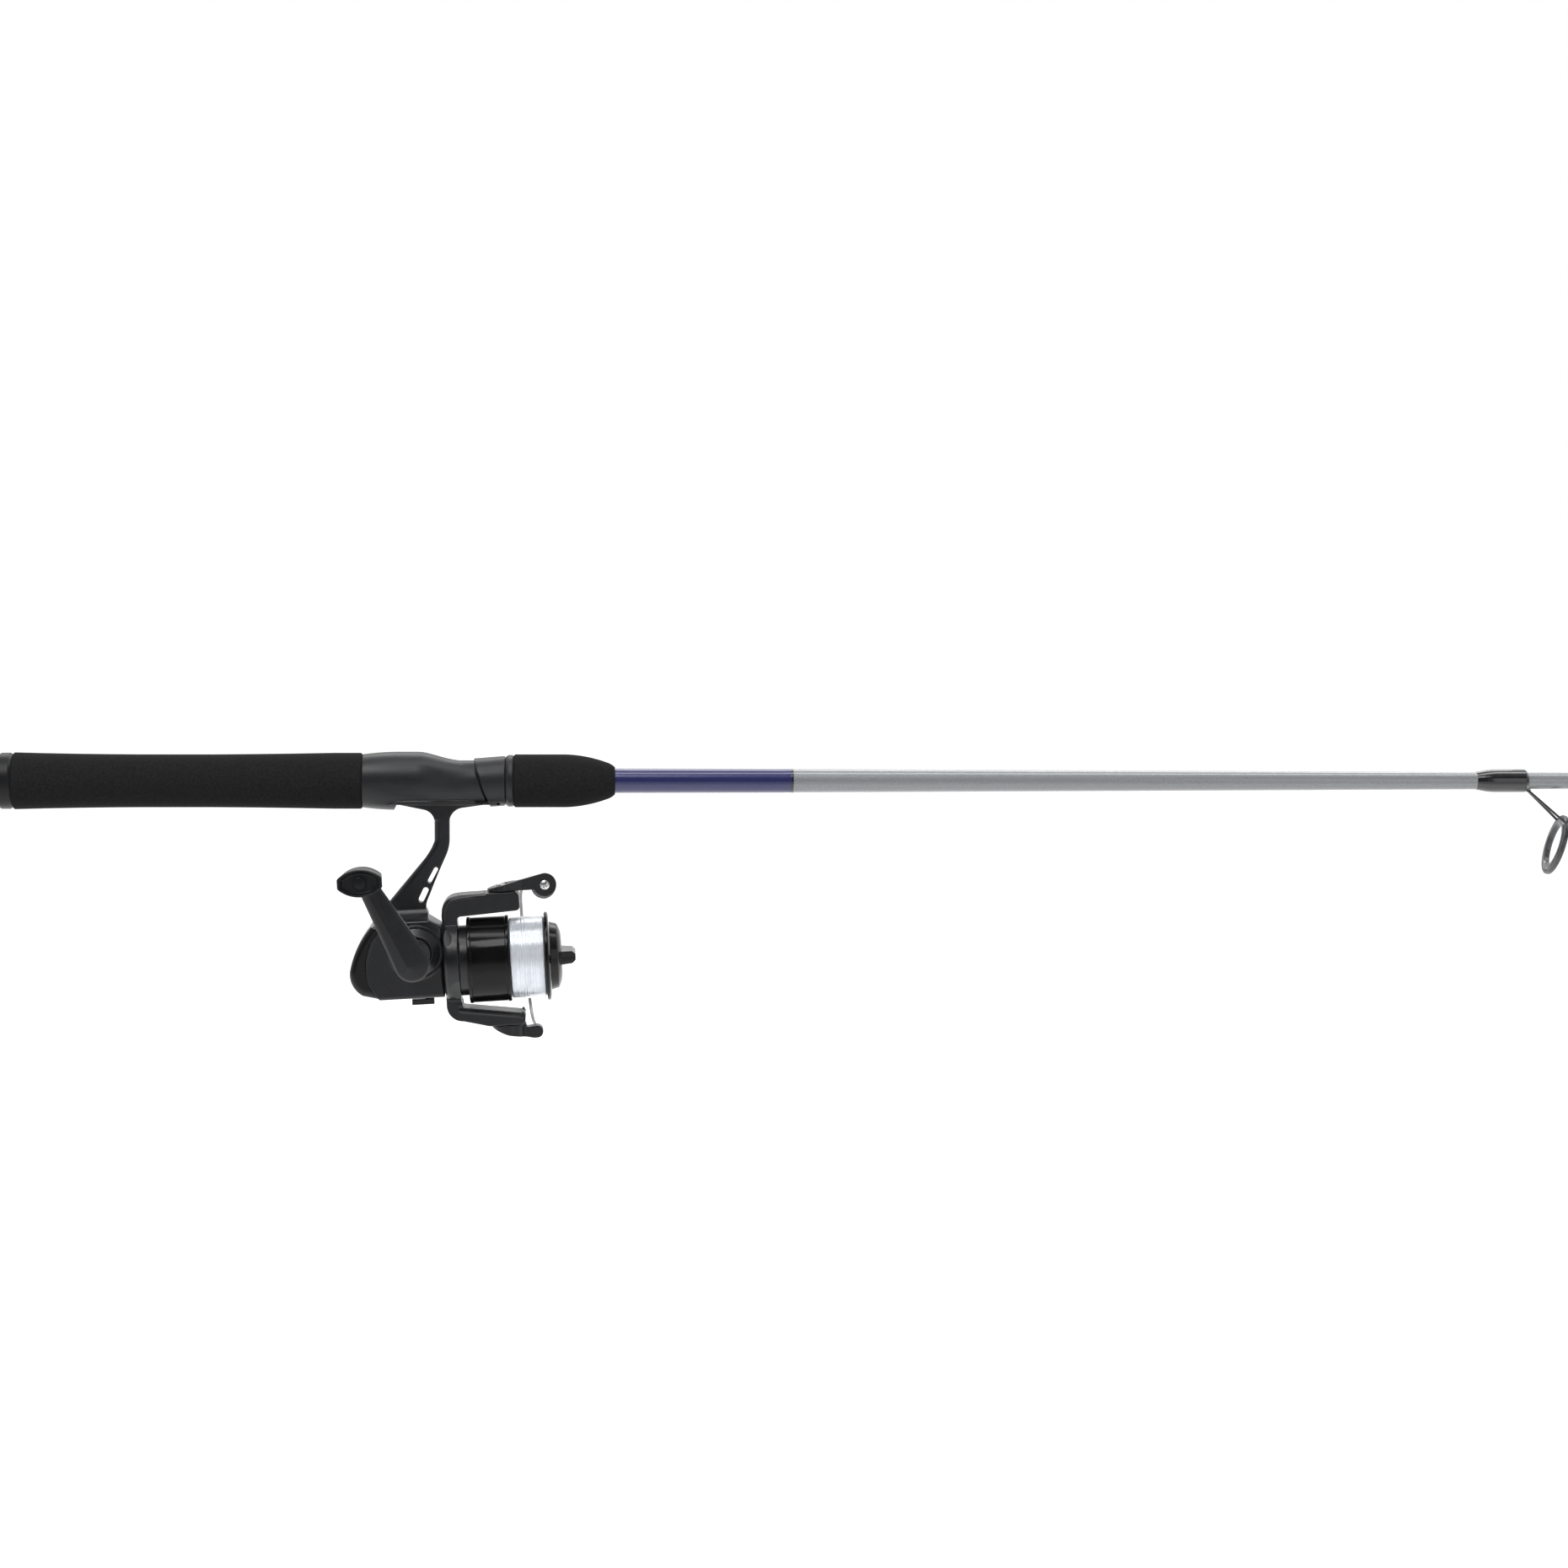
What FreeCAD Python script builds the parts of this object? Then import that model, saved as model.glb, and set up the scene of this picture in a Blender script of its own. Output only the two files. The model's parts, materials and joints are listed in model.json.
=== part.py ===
import FreeCAD, Part
import math
import os
import re
import Sketcher

# A spinning rod with its reel. X runs along the rod from the butt face to the tip, Z is up and
# the reel hangs below. Reel pieces that turn with the spool are drawn in the reel's own frame:
# its x runs along the spool axis, which tips up towards the rod tip.

SIZES = {
    # Stations along the rod, from the butt face.
    "blank_start": 8.0,
    "butt_cap_length": 19.7,
    "waist_start": 78.0,
    "waist_end": 112.0,
    "rear_grip_end": 181.0,
    "foot_start": 193.0,
    "hood_lip_end": 197.0,
    "split_top": 232.4,
    "split_bottom": 240.4,
    "split_gap": 1.0,
    "foot_end": 244.8,
    "thread_start": 247.0,
    "hood_end": 247.3,
    "fore_grip_start": 251.4,
    "nose_start": 275.8,
    "thread_end": 280.0,
    "fore_grip_end": 298.7,
    "band_end": 382.2,
    "blank_knee": 603.0,
    "rod_length": 1676.0,
    # Radii and walls of the blank.
    "blank_butt_radius": 5.95,
    "blank_grip_radius": 5.82,
    "blank_band_radius": 5.65,
    "blank_knee_radius": 4.65,
    "blank_ferrule_radius": 3.48,
    "blank_wall": 1.1,
    "spigot_radius": 3.4,
    "spigot_length": 50.0,
    "spigot_wall": 0.9,
    "ferrule_fit": 0.04,
    "socket_spare": 3.0,
    "tip_base_radius": 4.25,
    "tip_socket_radius": 3.95,
    "tip_middle_back": 420.0,
    "tip_middle_radius": 2.4,
    "tip_end_radius": 0.9,
    "tip_inset": 4.0,
    "tip_wall": 0.75,
    "tip_solid_length": 176.0,
    "ferrule_wrap_length": 14.0,
    "wrap_height": 0.35,
    "glue_gap": 0.02,
    # Grips and butt cap.
    "bead_radius": 13.1,
    "bead_count": 3,
    "groove_radius": 12.3,
    "bead_slope": 1.3,
    "grip_butt_radius": 13.25,
    "grip_waist_radius": 12.35,
    "grip_front_radius": 13.1,
    "grip_edge": 0.7,
    "fore_grip_radius": 12.4,
    "nose_radius": 6.4,
    "nose_shoulder": 8.8,
    "nose_back": 4.2,
    "nose_bore_gap": 0.15,
    # Reel seat, its hoods and the reel foot.
    "seat_rear_radius": 12.45,
    "seat_swell_radius": 13.65,
    "seat_swell_start": 197.0,
    "seat_swell_end": 206.0,
    "seat_neck_station": 224.5,
    "seat_neck_radius": 11.3,
    "seat_neck_drop": 1.5,
    "seat_lip_slant": 3.6,
    "seat_radius": 9.6,
    "seat_bore_radius": 7.6,
    "seat_thread_radius": 9.0,
    "foot_bed": 8.95,
    "foot_thickness": 1.85,
    "foot_half_width": 6.6,
    "foot_gap": 0.12,
    "hood_fit": 0.08,
    "hood_radius": 11.65,
    "hood_drop": 1.35,
    "nut_fit": 0.06,
    "nut_bead_radius": 12.1,
    "nut_gap": 0.15,
    "arbor_count": 3,
    "arbor_length": 9.0,
    # Guides. Each ring hangs below the blank on two legs; the small ones are placed back
    # from the rod's tip.
    "small_guide_first": 2,
    "small_guide_last": 5,
    "guide_2_back": 640.0,
    "guide_2_radius": 9.8,
    "guide_2_drop": 20.0,
    "guide_3_back": 420.0,
    "guide_3_radius": 7.6,
    "guide_3_drop": 14.5,
    "guide_4_back": 250.0,
    "guide_4_radius": 6.2,
    "guide_4_drop": 11.0,
    "guide_5_back": 115.0,
    "guide_5_radius": 5.2,
    "guide_5_drop": 9.0,
    "guide_foot_length": 24.5,
    "guide_foot_thickness": 0.9,
    "guide_foot_width": 3.0,
    "stripper_station": 706.8,
    "stripper_drop": 30.5,
    "stripper_reach": 14.3,
    "stripper_ring_radius": 14.6,
    "guide_tilt": 17.0,
    "guide_leg_spread": 38.0,
    "guide_rim": 1.9,
    "guide_insert_wall": 2.7,
    "guide_leg_radius": 0.6,
    "guide_ring_width": 2.2,
    "guide_insert_width": 3.0,
    "insert_fit": 0.02,
    "wrap_skin": 0.25,
    "wrap_lip": 0.15,
    "tip_tube_length": 9.0,
    "tip_tube_wall": 0.5,
    "tip_ring_radius": 4.0,
    "tip_ring_rim": 0.9,
    "tip_ring_wall": 1.4,
    "tip_ring_back": 2.0,
    # Reel: place of the spool axis abeam the crank, its slope and the offset of the crank.
    "reel_station": 206.3,
    "spool_depth": 85.7,
    "spool_slope": 3.0,
    "crank_offset": 6.4,
    "casing_half_width": 12.5,
    "cover_joint": 9.5,
    "side_wall": 2.2,
    "casing_round": 3.0,
    "casing_front": 12.4,
    "casing_slope": 5.6,
    "casing_slope_drop": 3.8,
    "casing_bottom": 15.3,
    "cavity_front": 9.7,
    "cavity_bottom": 11.7,
    "cavity_top": 16.6,
    "cover_top": 21.4,
    "joint_top_back": 16.3,
    "joint_top_drop": 3.6,
    "joint_low_back": 18.0,
    "joint_bow": 23.6,
    "rear_cover_back": 31.3,
    "rear_cover_width": 12.0,
    "cover_wall": 1.5,
    "stem_root_rise": 1.5,
    "stem_front": 15.2,
    "stem_flare": 17.0,
    "stem_width": 7.1,
    "stem_half_width": 3.6,
    "boss_radius": 12.2,
    "boss_top_radius": 8.2,
    "boss_height": 3.0,
    "screw_radius": 0.9,
    "screw_head_radius": 1.5,
    "screw_head_height": 1.2,
    # Shafts, gears and bearings.
    "crank_radius": 2.6,
    "drive_tube_radius": 3.5,
    "bush_radius": 5.2,
    "bush_length": 2.4,
    "running_gap": 0.05,
    "main_shaft_radius": 1.5,
    "main_shaft_back": 23.0,
    "main_shaft_front": 67.0,
    "pinion_teeth": 8,
    "pinion_tip_radius": 3.2,
    "pinion_root_radius": 2.45,
    "pinion_journal_radius": 3.0,
    "pinion_thread_radius": 2.9,
    "pinion_back": 2.0,
    "pinion_teeth_front": 7.2,
    "pinion_front": 24.6,
    "bearing_radius": 5.0,
    "drive_teeth": 42,
    "drive_ring_inner": 6.9,
    "drive_ring_outer": 9.3,
    "drive_tooth_height": 0.7,
    "drive_disc_start": 4.1,
    "drive_disc_thickness": 1.7,
    "gear_module": 0.8,
    "crank_gear_teeth": 14,
    "oscillation_teeth": 22,
    "gear_backlash": 0.12,
    "gear_start": 4.5,
    "gear_width": 2.0,
    "oscillation_drop": 7.1,
    "crank_throw": 6.0,
    "throw_pin_radius": 1.2,
    "slider_half_width": 3.0,
    "slider_length": 5.0,
    "slider_low": 6.2,
    "slider_high": 2.7,
    "part_gap": 0.3,
    # Handle.
    "handle_face": 55.2,
    "handle_length": 45.7,
    "handle_angle": 26.4,
    "handle_sleeve_radius": 4.2,
    "handle_thickness": 4.4,
    "handle_hub_radius": 8.1,
    "handle_root_width": 15.4,
    "handle_tip_width": 8.0,
    "knob_start": 57.2,
    "knob_end": 78.2,
    "knob_length": 20.3,
    "knob_height": 12.6,
    "knob_round": 2.5,
    "knob_recess_radius": 4.0,
    "knob_recess_depth": 2.0,
    "knob_pin_radius": 2.2,
    "knob_pin_head": 2.9,
    "handle_cap_radius": 7.0,
    "handle_cap_height": 7.0,
    # Rotor and bail, in the reel's frame.
    "rotor_back": 12.75,
    "rotor_disc_front": 19.8,
    "rotor_disc_radius": 19.4,
    "rotor_drum_radius": 16.5,
    "rotor_drum_wall": 2.0,
    "rotor_drum_front": 40.5,
    "arm_half_width": 8.0,
    "arm_inner": 21.5,
    "arm_outer": 31.3,
    "arm_rise": 0.4,
    "arm_flare": 1.5,
    "low_arm_root": 27.8,
    "low_arm_outer": 30.8,
    "low_arm_ramp": 32.2,
    "low_arm_flare": 3.6,
    "arm_front": 49.2,
    "arm_corner": 7.5,
    "arm_nose": 2.4,
    "arm_cover_back": 20.6,
    "arm_cover_front": 33.0,
    "arm_cover_inset": 1.6,
    "arm_cover_thickness": 1.4,
    "bail_pivot": 41.0,
    "bail_screw_radius": 1.75,
    "bail_screw_head": 3.0,
    "pivot_recess_radius": 3.2,
    "pivot_head_height": 1.1,
    "lever_gap": 0.25,
    "lever_disc_radius": 6.6,
    "lever_edge": 1.35,
    "lever_floor": 1.9,
    "lever_reach": 20.4,
    "lever_end_radius": 5.45,
    "lever_plate": 2.4,
    "holder_disc_radius": 8.0,
    "holder_edge": 0.7,
    "holder_depth": 7.1,
    "holder_tip": 16.1,
    "holder_tip_radius": 2.9,
    "holder_half_width": 2.9,
    "roller_axis_height": 34.0,
    "roller_radius": 3.9,
    "roller_length": 6.0,
    "roller_screw_radius": 1.5,
    "roller_screw_head": 2.2,
    "wire_radius": 0.75,
    "wire_bow": 33.0,
    "wire_centre": 17.0,
    "wire_foot": 12.4,
    "wire_side": 4.6,
    "wire_socket": 2.2,
    # Spool, line and drag.
    "skirt_back": 23.8,
    "skirt_front": 43.5,
    "skirt_radius": 20.3,
    "skirt_wall": 1.5,
    "spool_web": 1.8,
    "arbor_radius": 13.0,
    "line_radius": 19.1,
    "flange_back": 60.0,
    "flange_front": 62.0,
    "flange_radius": 20.8,
    "drag_pit_radius": 11.5,
    "drag_pit_depth": 7.0,
    "washer_count": 5,
    "washer_thickness": 0.9,
    "drag_cap_radius": 16.1,
    "drag_cap_front": 67.6,
    "drag_cap_shoulder": 3.4,
    "drag_cap_fall": 1.0,
    "drag_cap_flat": 7.2,
    "drag_bar_front": 74.1,
    "drag_bar_reach": 12.8,
    "drag_bar_nose": 1.6,
    "drag_bar_height": 6.4,
    "spring_wire": 0.45,
    "spring_radius": 3.4,
    "spring_turns": 3,
    # Anti-reverse lever under the casing.
    "lever_station": 212.2,
    "stop_tab_drop": 7.9,
    "stop_tab_length": 10.4,
    "stop_tab_height": 2.6,
    "lever_swing": 20.0,
    "lever_barrel_radius": 1.5,
}

# How far ahead of its foot the bail's wire lies at some angles round the spool, from below to above.
WIRE_SHIFTS = (
    (-90, -0.9), (-60, -2.2), (-36, -3.1), (0, -4.2), (35, -4.5), (50, -4.2), (72, -1.4), (90, 2.6),
)

# The shoulder under the stem: height above the casing, and share of the casing's extra width there.
SHOULDER_STEPS = ((0.0, 1.0), (2.6, 0.6), (6.0, 0.3), (10.5, 0.1), (15.0, 0.0))

# The two slots in the stem: how far ahead of the crank and how high up they run, and their radius.
STEM_SLOTS = (((8.85, 0.415), (5.85, 0.306), 0.95), ((4.05, 0.227), (1.9, 0.137), 1.3))

# Stations that follow from other sizes: both halves of the rod have the same length.
DERIVED = {
    "ferrule_station": "=rod_length / 2",
    "tip_middle_station": "=rod_length - tip_middle_back",
    "tip_hollow_end": "=rod_length - tip_solid_length",
}

doc = FreeCAD.newDocument("SpinningRodAndReel")
sheet = doc.addObject("Spreadsheet::Sheet", "Sizes")
for row, (name, value) in enumerate({**SIZES, **DERIVED}.items(), start=1):
    sheet.set(f"A{row}", str(value))
    sheet.setAlias(f"A{row}", name)
doc.recompute()

PIECES = []


def formula(text):
    """Point every size's name in an expression at the sheet."""
    return re.sub(r"[a-z][a-z_0-9]*", named_size, str(text))


def named_size(word):
    known = word[0] in SIZES or word[0] in DERIVED
    return f"Sizes.{word[0]}" if known else word[0]


def number(text):
    """The value of an expression in the sheet's sizes."""
    return float(sheet.evalExpression(formula(text)))


def vector(x, y, z):
    return FreeCAD.Vector(x, y, z)


# Sketched bodies

def new_body(label):
    body = doc.addObject("PartDesign::Body", label)
    body.Label = label
    PIECES.append(body)
    return body


def new_sketch(body, plane, offset):
    """A sketch on one of the body's origin planes, moved along its normal."""
    sketch = body.newObject("Sketcher::SketchObject", f"{body.Label}_outline")
    support = [feature for feature in body.Origin.OriginFeatures if feature.Role == plane][0]
    sketch.AttachmentSupport = [(support, "")]
    sketch.MapMode = "FlatFace"
    sketch.setExpression("AttachmentOffset.Base.z", formula(offset))
    return sketch


def pin_point(sketch, geometry, end, x, y):
    """Hold one end of a geometry at a place worked out from the sizes."""
    for kind, text in (("DistanceX", x), ("DistanceY", y)):
        row = sketch.addConstraint(Sketcher.Constraint(kind, -1, 1, geometry, end, number(text)))
        sketch.setExpression(f"Constraints[{row}]", formula(text))


def draw_outline(sketch, corners):
    """A closed outline. A corner with four values starts an arc through its second pair."""
    count = len(corners)
    for index, corner in enumerate(corners):
        start = vector(number(corner[0]), number(corner[1]), 0)
        after = corners[(index + 1) % count]
        end = vector(number(after[0]), number(after[1]), 0)
        if len(corner) == 2:
            sketch.addGeometry(Part.LineSegment(start, end))
            continue
        via = vector(number(corner[2]), number(corner[3]), 0)
        clockwise = (via - start).cross(end - via).z < 0
        sketch.addGeometry(Part.Arc(end, via, start) if clockwise else Part.Arc(start, via, end))
    ends = [arc_ends(sketch.Geometry[index], corners[index]) for index in range(count)]
    for index, corner in enumerate(corners):
        first, _ = ends[index]
        before = (index - 1) % count
        sketch.addConstraint(Sketcher.Constraint("Coincident", index, first, before, ends[before][1]))
        pin_point(sketch, index, first, corner[0], corner[1])
        if len(corner) == 4:
            point = sketch.addGeometry(Part.Point(vector(number(corner[2]), number(corner[3]), 0)), True)
            pin_point(sketch, point, 1, corner[2], corner[3])
            sketch.addConstraint(Sketcher.Constraint("PointOnObject", point, 1, index))


def arc_ends(geometry, corner):
    """Which end of the geometry lies at the corner, and which at the next one."""
    start = vector(number(corner[0]), number(corner[1]), 0)
    if geometry.StartPoint.distanceToPoint(start) < geometry.EndPoint.distanceToPoint(start):
        return 1, 2
    return 2, 1


def turned(label, corners):
    """A body turned about the X axis from an outline of stations and radii."""
    body = new_body(label)
    sketch = new_sketch(body, "XZ_Plane", "0")
    draw_outline(sketch, corners)
    turn = body.newObject("PartDesign::Revolution", f"{label}_turn")
    turn.Profile = sketch
    turn.ReferenceAxis = (sketch, ["H_Axis"])
    turn.Angle = 360
    return body


# Shaped pieces

def shaped(label, shape):
    """A piece whose shape is worked out below from the sheet's sizes."""
    piece = doc.addObject("Part::Feature", label)
    piece.Label = label
    piece.Shape = shape
    PIECES.append(piece)
    return piece


def reel_placement():
    """The reel's frame: its origin on the spool axis abeam the crank."""
    tilt = FreeCAD.Rotation(vector(0, 1, 0), -number("spool_slope"))
    return FreeCAD.Placement(vector(number("reel_station"), 0, -number("spool_depth")), tilt)


def on_reel(piece):
    """Put a piece that is drawn in the reel's frame in its place."""
    piece.Placement = reel_placement()
    piece.setExpression("Placement.Base.x", formula("reel_station"))
    piece.setExpression("Placement.Base.z", formula("-spool_depth"))
    return piece


def flat_wire(corners, y):
    """A closed wire in the plane at y, with the same corners and arcs as a sketched outline."""
    edges = []
    for index, corner in enumerate(corners):
        after = corners[(index + 1) % len(corners)]
        start = vector(corner[0], y, corner[1])
        end = vector(after[0], y, after[1])
        if len(corner) == 2:
            edges.append(Part.LineSegment(start, end).toShape())
        else:
            edges.append(Part.Arc(start, vector(corner[2], y, corner[3]), end).toShape())
    return Part.Wire(edges)


def slab(corners, start, end):
    """An outline in the XZ plane, made solid between two values of Y."""
    return Part.Face(flat_wire(corners, start)).extrude(vector(0, end - start, 0))


def plan_slab(corners, low, high):
    """An outline of corners in the XY plane, made solid between two heights."""
    points = [vector(x, y, low) for x, y in corners]
    return Part.Face(Part.makePolygon(points + points[:1])).extrude(vector(0, 0, high - low))


def block(x, y, z):
    """A box between the pairs of values given along each axis."""
    corner = vector(x[0], y[0], z[0])
    return Part.makeBox(x[1] - x[0], y[1] - y[0], z[1] - z[0], corner)


def rod_x(radius, start, end, y=0, z=0):
    return Part.makeCylinder(radius, end - start, vector(start, y, z), vector(1, 0, 0))


def rod_y(radius, start, end, x, z):
    return Part.makeCylinder(radius, end - start, vector(x, start, z), vector(0, 1, 0))


def rod_z(radius, start, end, x, y=0):
    return Part.makeCylinder(radius, end - start, vector(x, y, start), vector(0, 0, 1))


def rounded(shape, radius, wanted):
    """Round the edges whose middle passes the test."""
    edges = [edge for edge in shape.Edges if wanted(edge.valueAt(middle_of(edge)))]
    return shape.makeFillet(radius, edges)


def middle_of(edge):
    return (edge.FirstParameter + edge.LastParameter) / 2


# Rod: butt cap, grips and blank

def make_butt_cap():
    bead = "(butt_cap_length / bead_count)"
    socket = "blank_butt_radius + glue_gap"
    corners = [("0", "0")]
    for index in range(int(SIZES["bead_count"])):
        start = f"{index} * {bead}"
        corners.append((start, "groove_radius"))
        corners.append((f"{start} + bead_slope", "bead_radius"))
        corners.append((f"{start} + {bead} - bead_slope", "bead_radius"))
    corners.append(("butt_cap_length", "groove_radius"))
    corners.append(("butt_cap_length", socket))
    corners.append(("blank_start", socket))
    corners.append(("blank_start", "0"))
    turned("butt_cap", corners)


def make_rear_grip():
    bore = "blank_butt_radius + glue_gap"
    turned("rear_grip", [
        ("butt_cap_length", "grip_butt_radius - grip_edge"),
        ("butt_cap_length + grip_edge", "grip_butt_radius",
         "(butt_cap_length + waist_start) / 2 - 4",
         "(grip_butt_radius + grip_waist_radius) / 2 - 0.1"),
        ("waist_start", "grip_waist_radius"),
        ("waist_end", "grip_waist_radius",
         "(waist_end + rear_grip_end) / 2 - 6",
         "(grip_front_radius + grip_waist_radius) / 2 - 0.1"),
        ("rear_grip_end - 13", "grip_front_radius"),
        ("rear_grip_end - grip_edge", "grip_front_radius"),
        ("rear_grip_end", "grip_front_radius - grip_edge"),
        ("rear_grip_end", bore),
        ("butt_cap_length", bore),
    ])


def make_butt_blank():
    """The lower half of the rod, with the spigot that the tip half slides onto."""
    grip_front = "fore_grip_end"
    spigot_end = "ferrule_station + spigot_length"
    turned("butt_blank", [
        ("blank_start", "blank_butt_radius"),
        ("rear_grip_end", "blank_butt_radius"),
        (grip_front, "blank_grip_radius"),
        ("band_end", "blank_band_radius"),
        ("blank_knee", "blank_knee_radius"),
        ("ferrule_station", "blank_ferrule_radius"),
        ("ferrule_station", "spigot_radius"),
        (spigot_end, "spigot_radius"),
        (spigot_end, "spigot_radius - spigot_wall"),
        ("ferrule_station", "spigot_radius - spigot_wall"),
        ("blank_knee", "blank_knee_radius - blank_wall"),
        (grip_front, "blank_grip_radius - blank_wall"),
        ("blank_start", "blank_butt_radius - blank_wall"),
    ])


def make_tip_blank():
    """The upper half of the rod: a socket at its base, then a long taper."""
    bore = "spigot_radius + ferrule_fit"
    base = "ferrule_station + glue_gap"
    socket_end = "ferrule_station + spigot_length + socket_spare"
    turned("tip_blank", [
        (base, "tip_base_radius"),
        (socket_end, "tip_socket_radius"),
        ("tip_middle_station", "tip_middle_radius"),
        ("rod_length - tip_inset", "tip_end_radius"),
        ("rod_length - tip_inset", "0"),
        ("tip_hollow_end", "0"),
        ("tip_middle_station", "tip_middle_radius - tip_wall"),
        (f"{socket_end} + 3", "tip_socket_radius - tip_wall - 0.8"),
        (socket_end, bore),
        (base, bore),
    ])


def blank_radius(station):
    """The blank's outer radius at a station, along its straight tapers."""
    socket_end = number("ferrule_station + spigot_length + socket_spare")
    knots = [
        (number("fore_grip_end"), number("blank_grip_radius")),
        (number("band_end"), number("blank_band_radius")),
        (number("blank_knee"), number("blank_knee_radius")),
        (number("ferrule_station"), number("blank_ferrule_radius")),
        (number("ferrule_station"), number("tip_base_radius")),
        (socket_end, number("tip_socket_radius")),
        (number("tip_middle_station"), number("tip_middle_radius")),
        (number("rod_length - tip_inset"), number("tip_end_radius")),
    ]
    for (start, first), (end, last) in zip(knots, knots[1:]):
        if start <= station < end:
            return first + (last - first) * (station - start) / (end - start)
    return knots[-1][1]


def make_ferrule_wrap():
    """The thread wrap that strengthens the mouth of the tip half."""
    start = number("ferrule_station + 1")
    end = start + number("ferrule_wrap_length")
    shaped("ferrule_wrap", wrap_shape(start, end, number("wrap_height")))


def wrap_shape(start, end, height):
    """A band of varnished thread with rounded ends, on the taper of the blank."""
    gap = number("glue_gap")
    edge = min(1.0, (end - start) / 4)
    lip = number("wrap_lip")
    first = blank_radius(start) + gap
    last = blank_radius(end) + gap
    corners = [(start, first), (start, first + lip), (start + edge, first + height),
               (end - edge, last + height), (end, last + lip), (end, last)]
    profile = Part.Face(flat_wire(corners, 0))
    return profile.revolve(vector(0, 0, 0), vector(1, 0, 0), 360)


# Reel seat with its fixed hood, and the hood that the fore grip drives

def turned_shape(corners):
    """A solid turned about the X axis from an outline of stations and radii."""
    return Part.Face(flat_wire(corners, 0)).revolve(vector(0, 0, 0), vector(1, 0, 0), 360)


def lofted_circles(rings):
    """A smooth solid through circles across X, each given by station, drop and radius."""
    wires = [Part.Wire(Part.makeCircle(radius, vector(station, 0, -drop), vector(1, 0, 0)))
             for station, drop, radius in rings]
    return Part.makeLoft(wires, True)


def ahead_of_split(gap):
    """All that lies towards the tip from the slanting split, moved back by a gap."""
    reach = number("hood_radius") + 10
    middle = number("split_top + split_bottom") / 2 - gap
    lean = number("split_bottom - split_top") / (2 * number("hood_radius"))
    far = number("thread_end")
    shift = lean * reach
    corners = [(middle - shift, reach), (middle + shift, -reach), (far, -reach), (far, reach)]
    return slab(corners, -reach, reach)


def seat_rear():
    """The part of the seat behind its neck, with the swell that fills the palm."""
    start = number("rear_grip_end + glue_gap")
    swell = number("seat_swell_radius")
    swell_start = number("seat_swell_start")
    swell_end = number("seat_swell_end")
    middle = (start + swell_start) / 2
    rear = number("seat_rear_radius")
    return turned_shape([
        (start, rear, middle, (rear + swell) / 2 + 0.25), (swell_start, swell), (swell_end, swell),
        (swell_end, number("seat_bore_radius")), (start, number("seat_bore_radius")),
    ])


def seat_neck():
    """The part of the seat that narrows on top and ends at the slanting split."""
    swell = number("seat_swell_radius")
    start = number("seat_swell_end")
    neck = number("seat_neck_station")
    drop = number("seat_neck_drop")
    radius = number("seat_neck_radius")
    end = number("split_bottom") + 2
    length = neck - start
    narrowing = swell - radius
    rings = [(start, 0, swell), (start + length / 3, drop * 0.2, swell - narrowing * 0.21),
             (start + length * 2 / 3, drop * 0.73, swell - narrowing * 0.6),
             (neck, drop, radius), (end, drop, radius)]
    return lofted_circles(rings).cut(ahead_of_split(number("split_gap")))


def make_reel_seat():
    start = number("rear_grip_end + glue_gap")
    bore = number("seat_bore_radius")
    swell_end = number("seat_swell_end")
    core = turned_shape([
        (swell_end - 1, bore), (swell_end - 1, number("seat_radius")),
        (number("thread_start"), number("seat_radius")),
        (number("thread_start"), number("seat_thread_radius")),
        (number("thread_end"), number("seat_thread_radius")), (number("thread_end"), bore),
    ])
    seat = seat_rear().fuse(seat_neck()).fuse(core)
    seat = seat.cut(rod_x(bore, start - 1, number("thread_end") + 1))
    bed = -number("foot_bed")
    lip = number("hood_lip_end")
    low = -number("seat_swell_radius") - 5
    far = number("thread_end") + 1
    under = slab([(lip - number("seat_lip_slant"), low), (lip, bed - number("foot_thickness")),
                  (lip, bed), (far, bed), (far, low)], low, -low)
    gap = number("foot_gap")
    half = number("foot_half_width") + gap
    pocket = block((number("foot_start") - gap, lip + 1), (-half, half),
                   (bed - number("foot_thickness") - gap, bed))
    shaped("reel_seat", seat.cut(under).cut(pocket).removeSplitter())


def make_seat_arbors():
    """Rings that centre the seat on the blank."""
    inner = number("blank_butt_radius") + number("glue_gap")
    outer = number("seat_bore_radius") - number("glue_gap")
    start = number("rear_grip_end") + 4
    pitch = (number("thread_end") - start - number("arbor_length") - 2) / (number("arbor_count") - 1)
    rings = []
    for index in range(int(SIZES["arbor_count"])):
        place = start + index * pitch
        ring = rod_x(outer, place, place + number("arbor_length"))
        rings.append(ring.cut(rod_x(inner, place - 1, place + number("arbor_length") + 1)))
    shaped("seat_arbors", Part.makeCompound(rings))


def make_sliding_hood():
    """A sheared tube, cut aslant at the back, with a pocket for the foot."""
    start = number("split_top") - 2
    end = number("hood_end")
    radius = number("hood_radius")
    hood = lofted_circles([(start, number("hood_drop"), radius), (end, 0, radius)])
    hood = hood.cut(rod_x(number("seat_radius + hood_fit"), start - 1, end + 1))
    hood = hood.common(ahead_of_split(0))
    gap = number("foot_gap")
    half = number("foot_half_width") + gap
    low = -number("foot_bed + foot_thickness") - gap
    pocket = block((start - 1, number("foot_end") + gap), (-half, half), (low, 1 - number("foot_bed")))
    shaped("sliding_hood", hood.cut(pocket))


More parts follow.
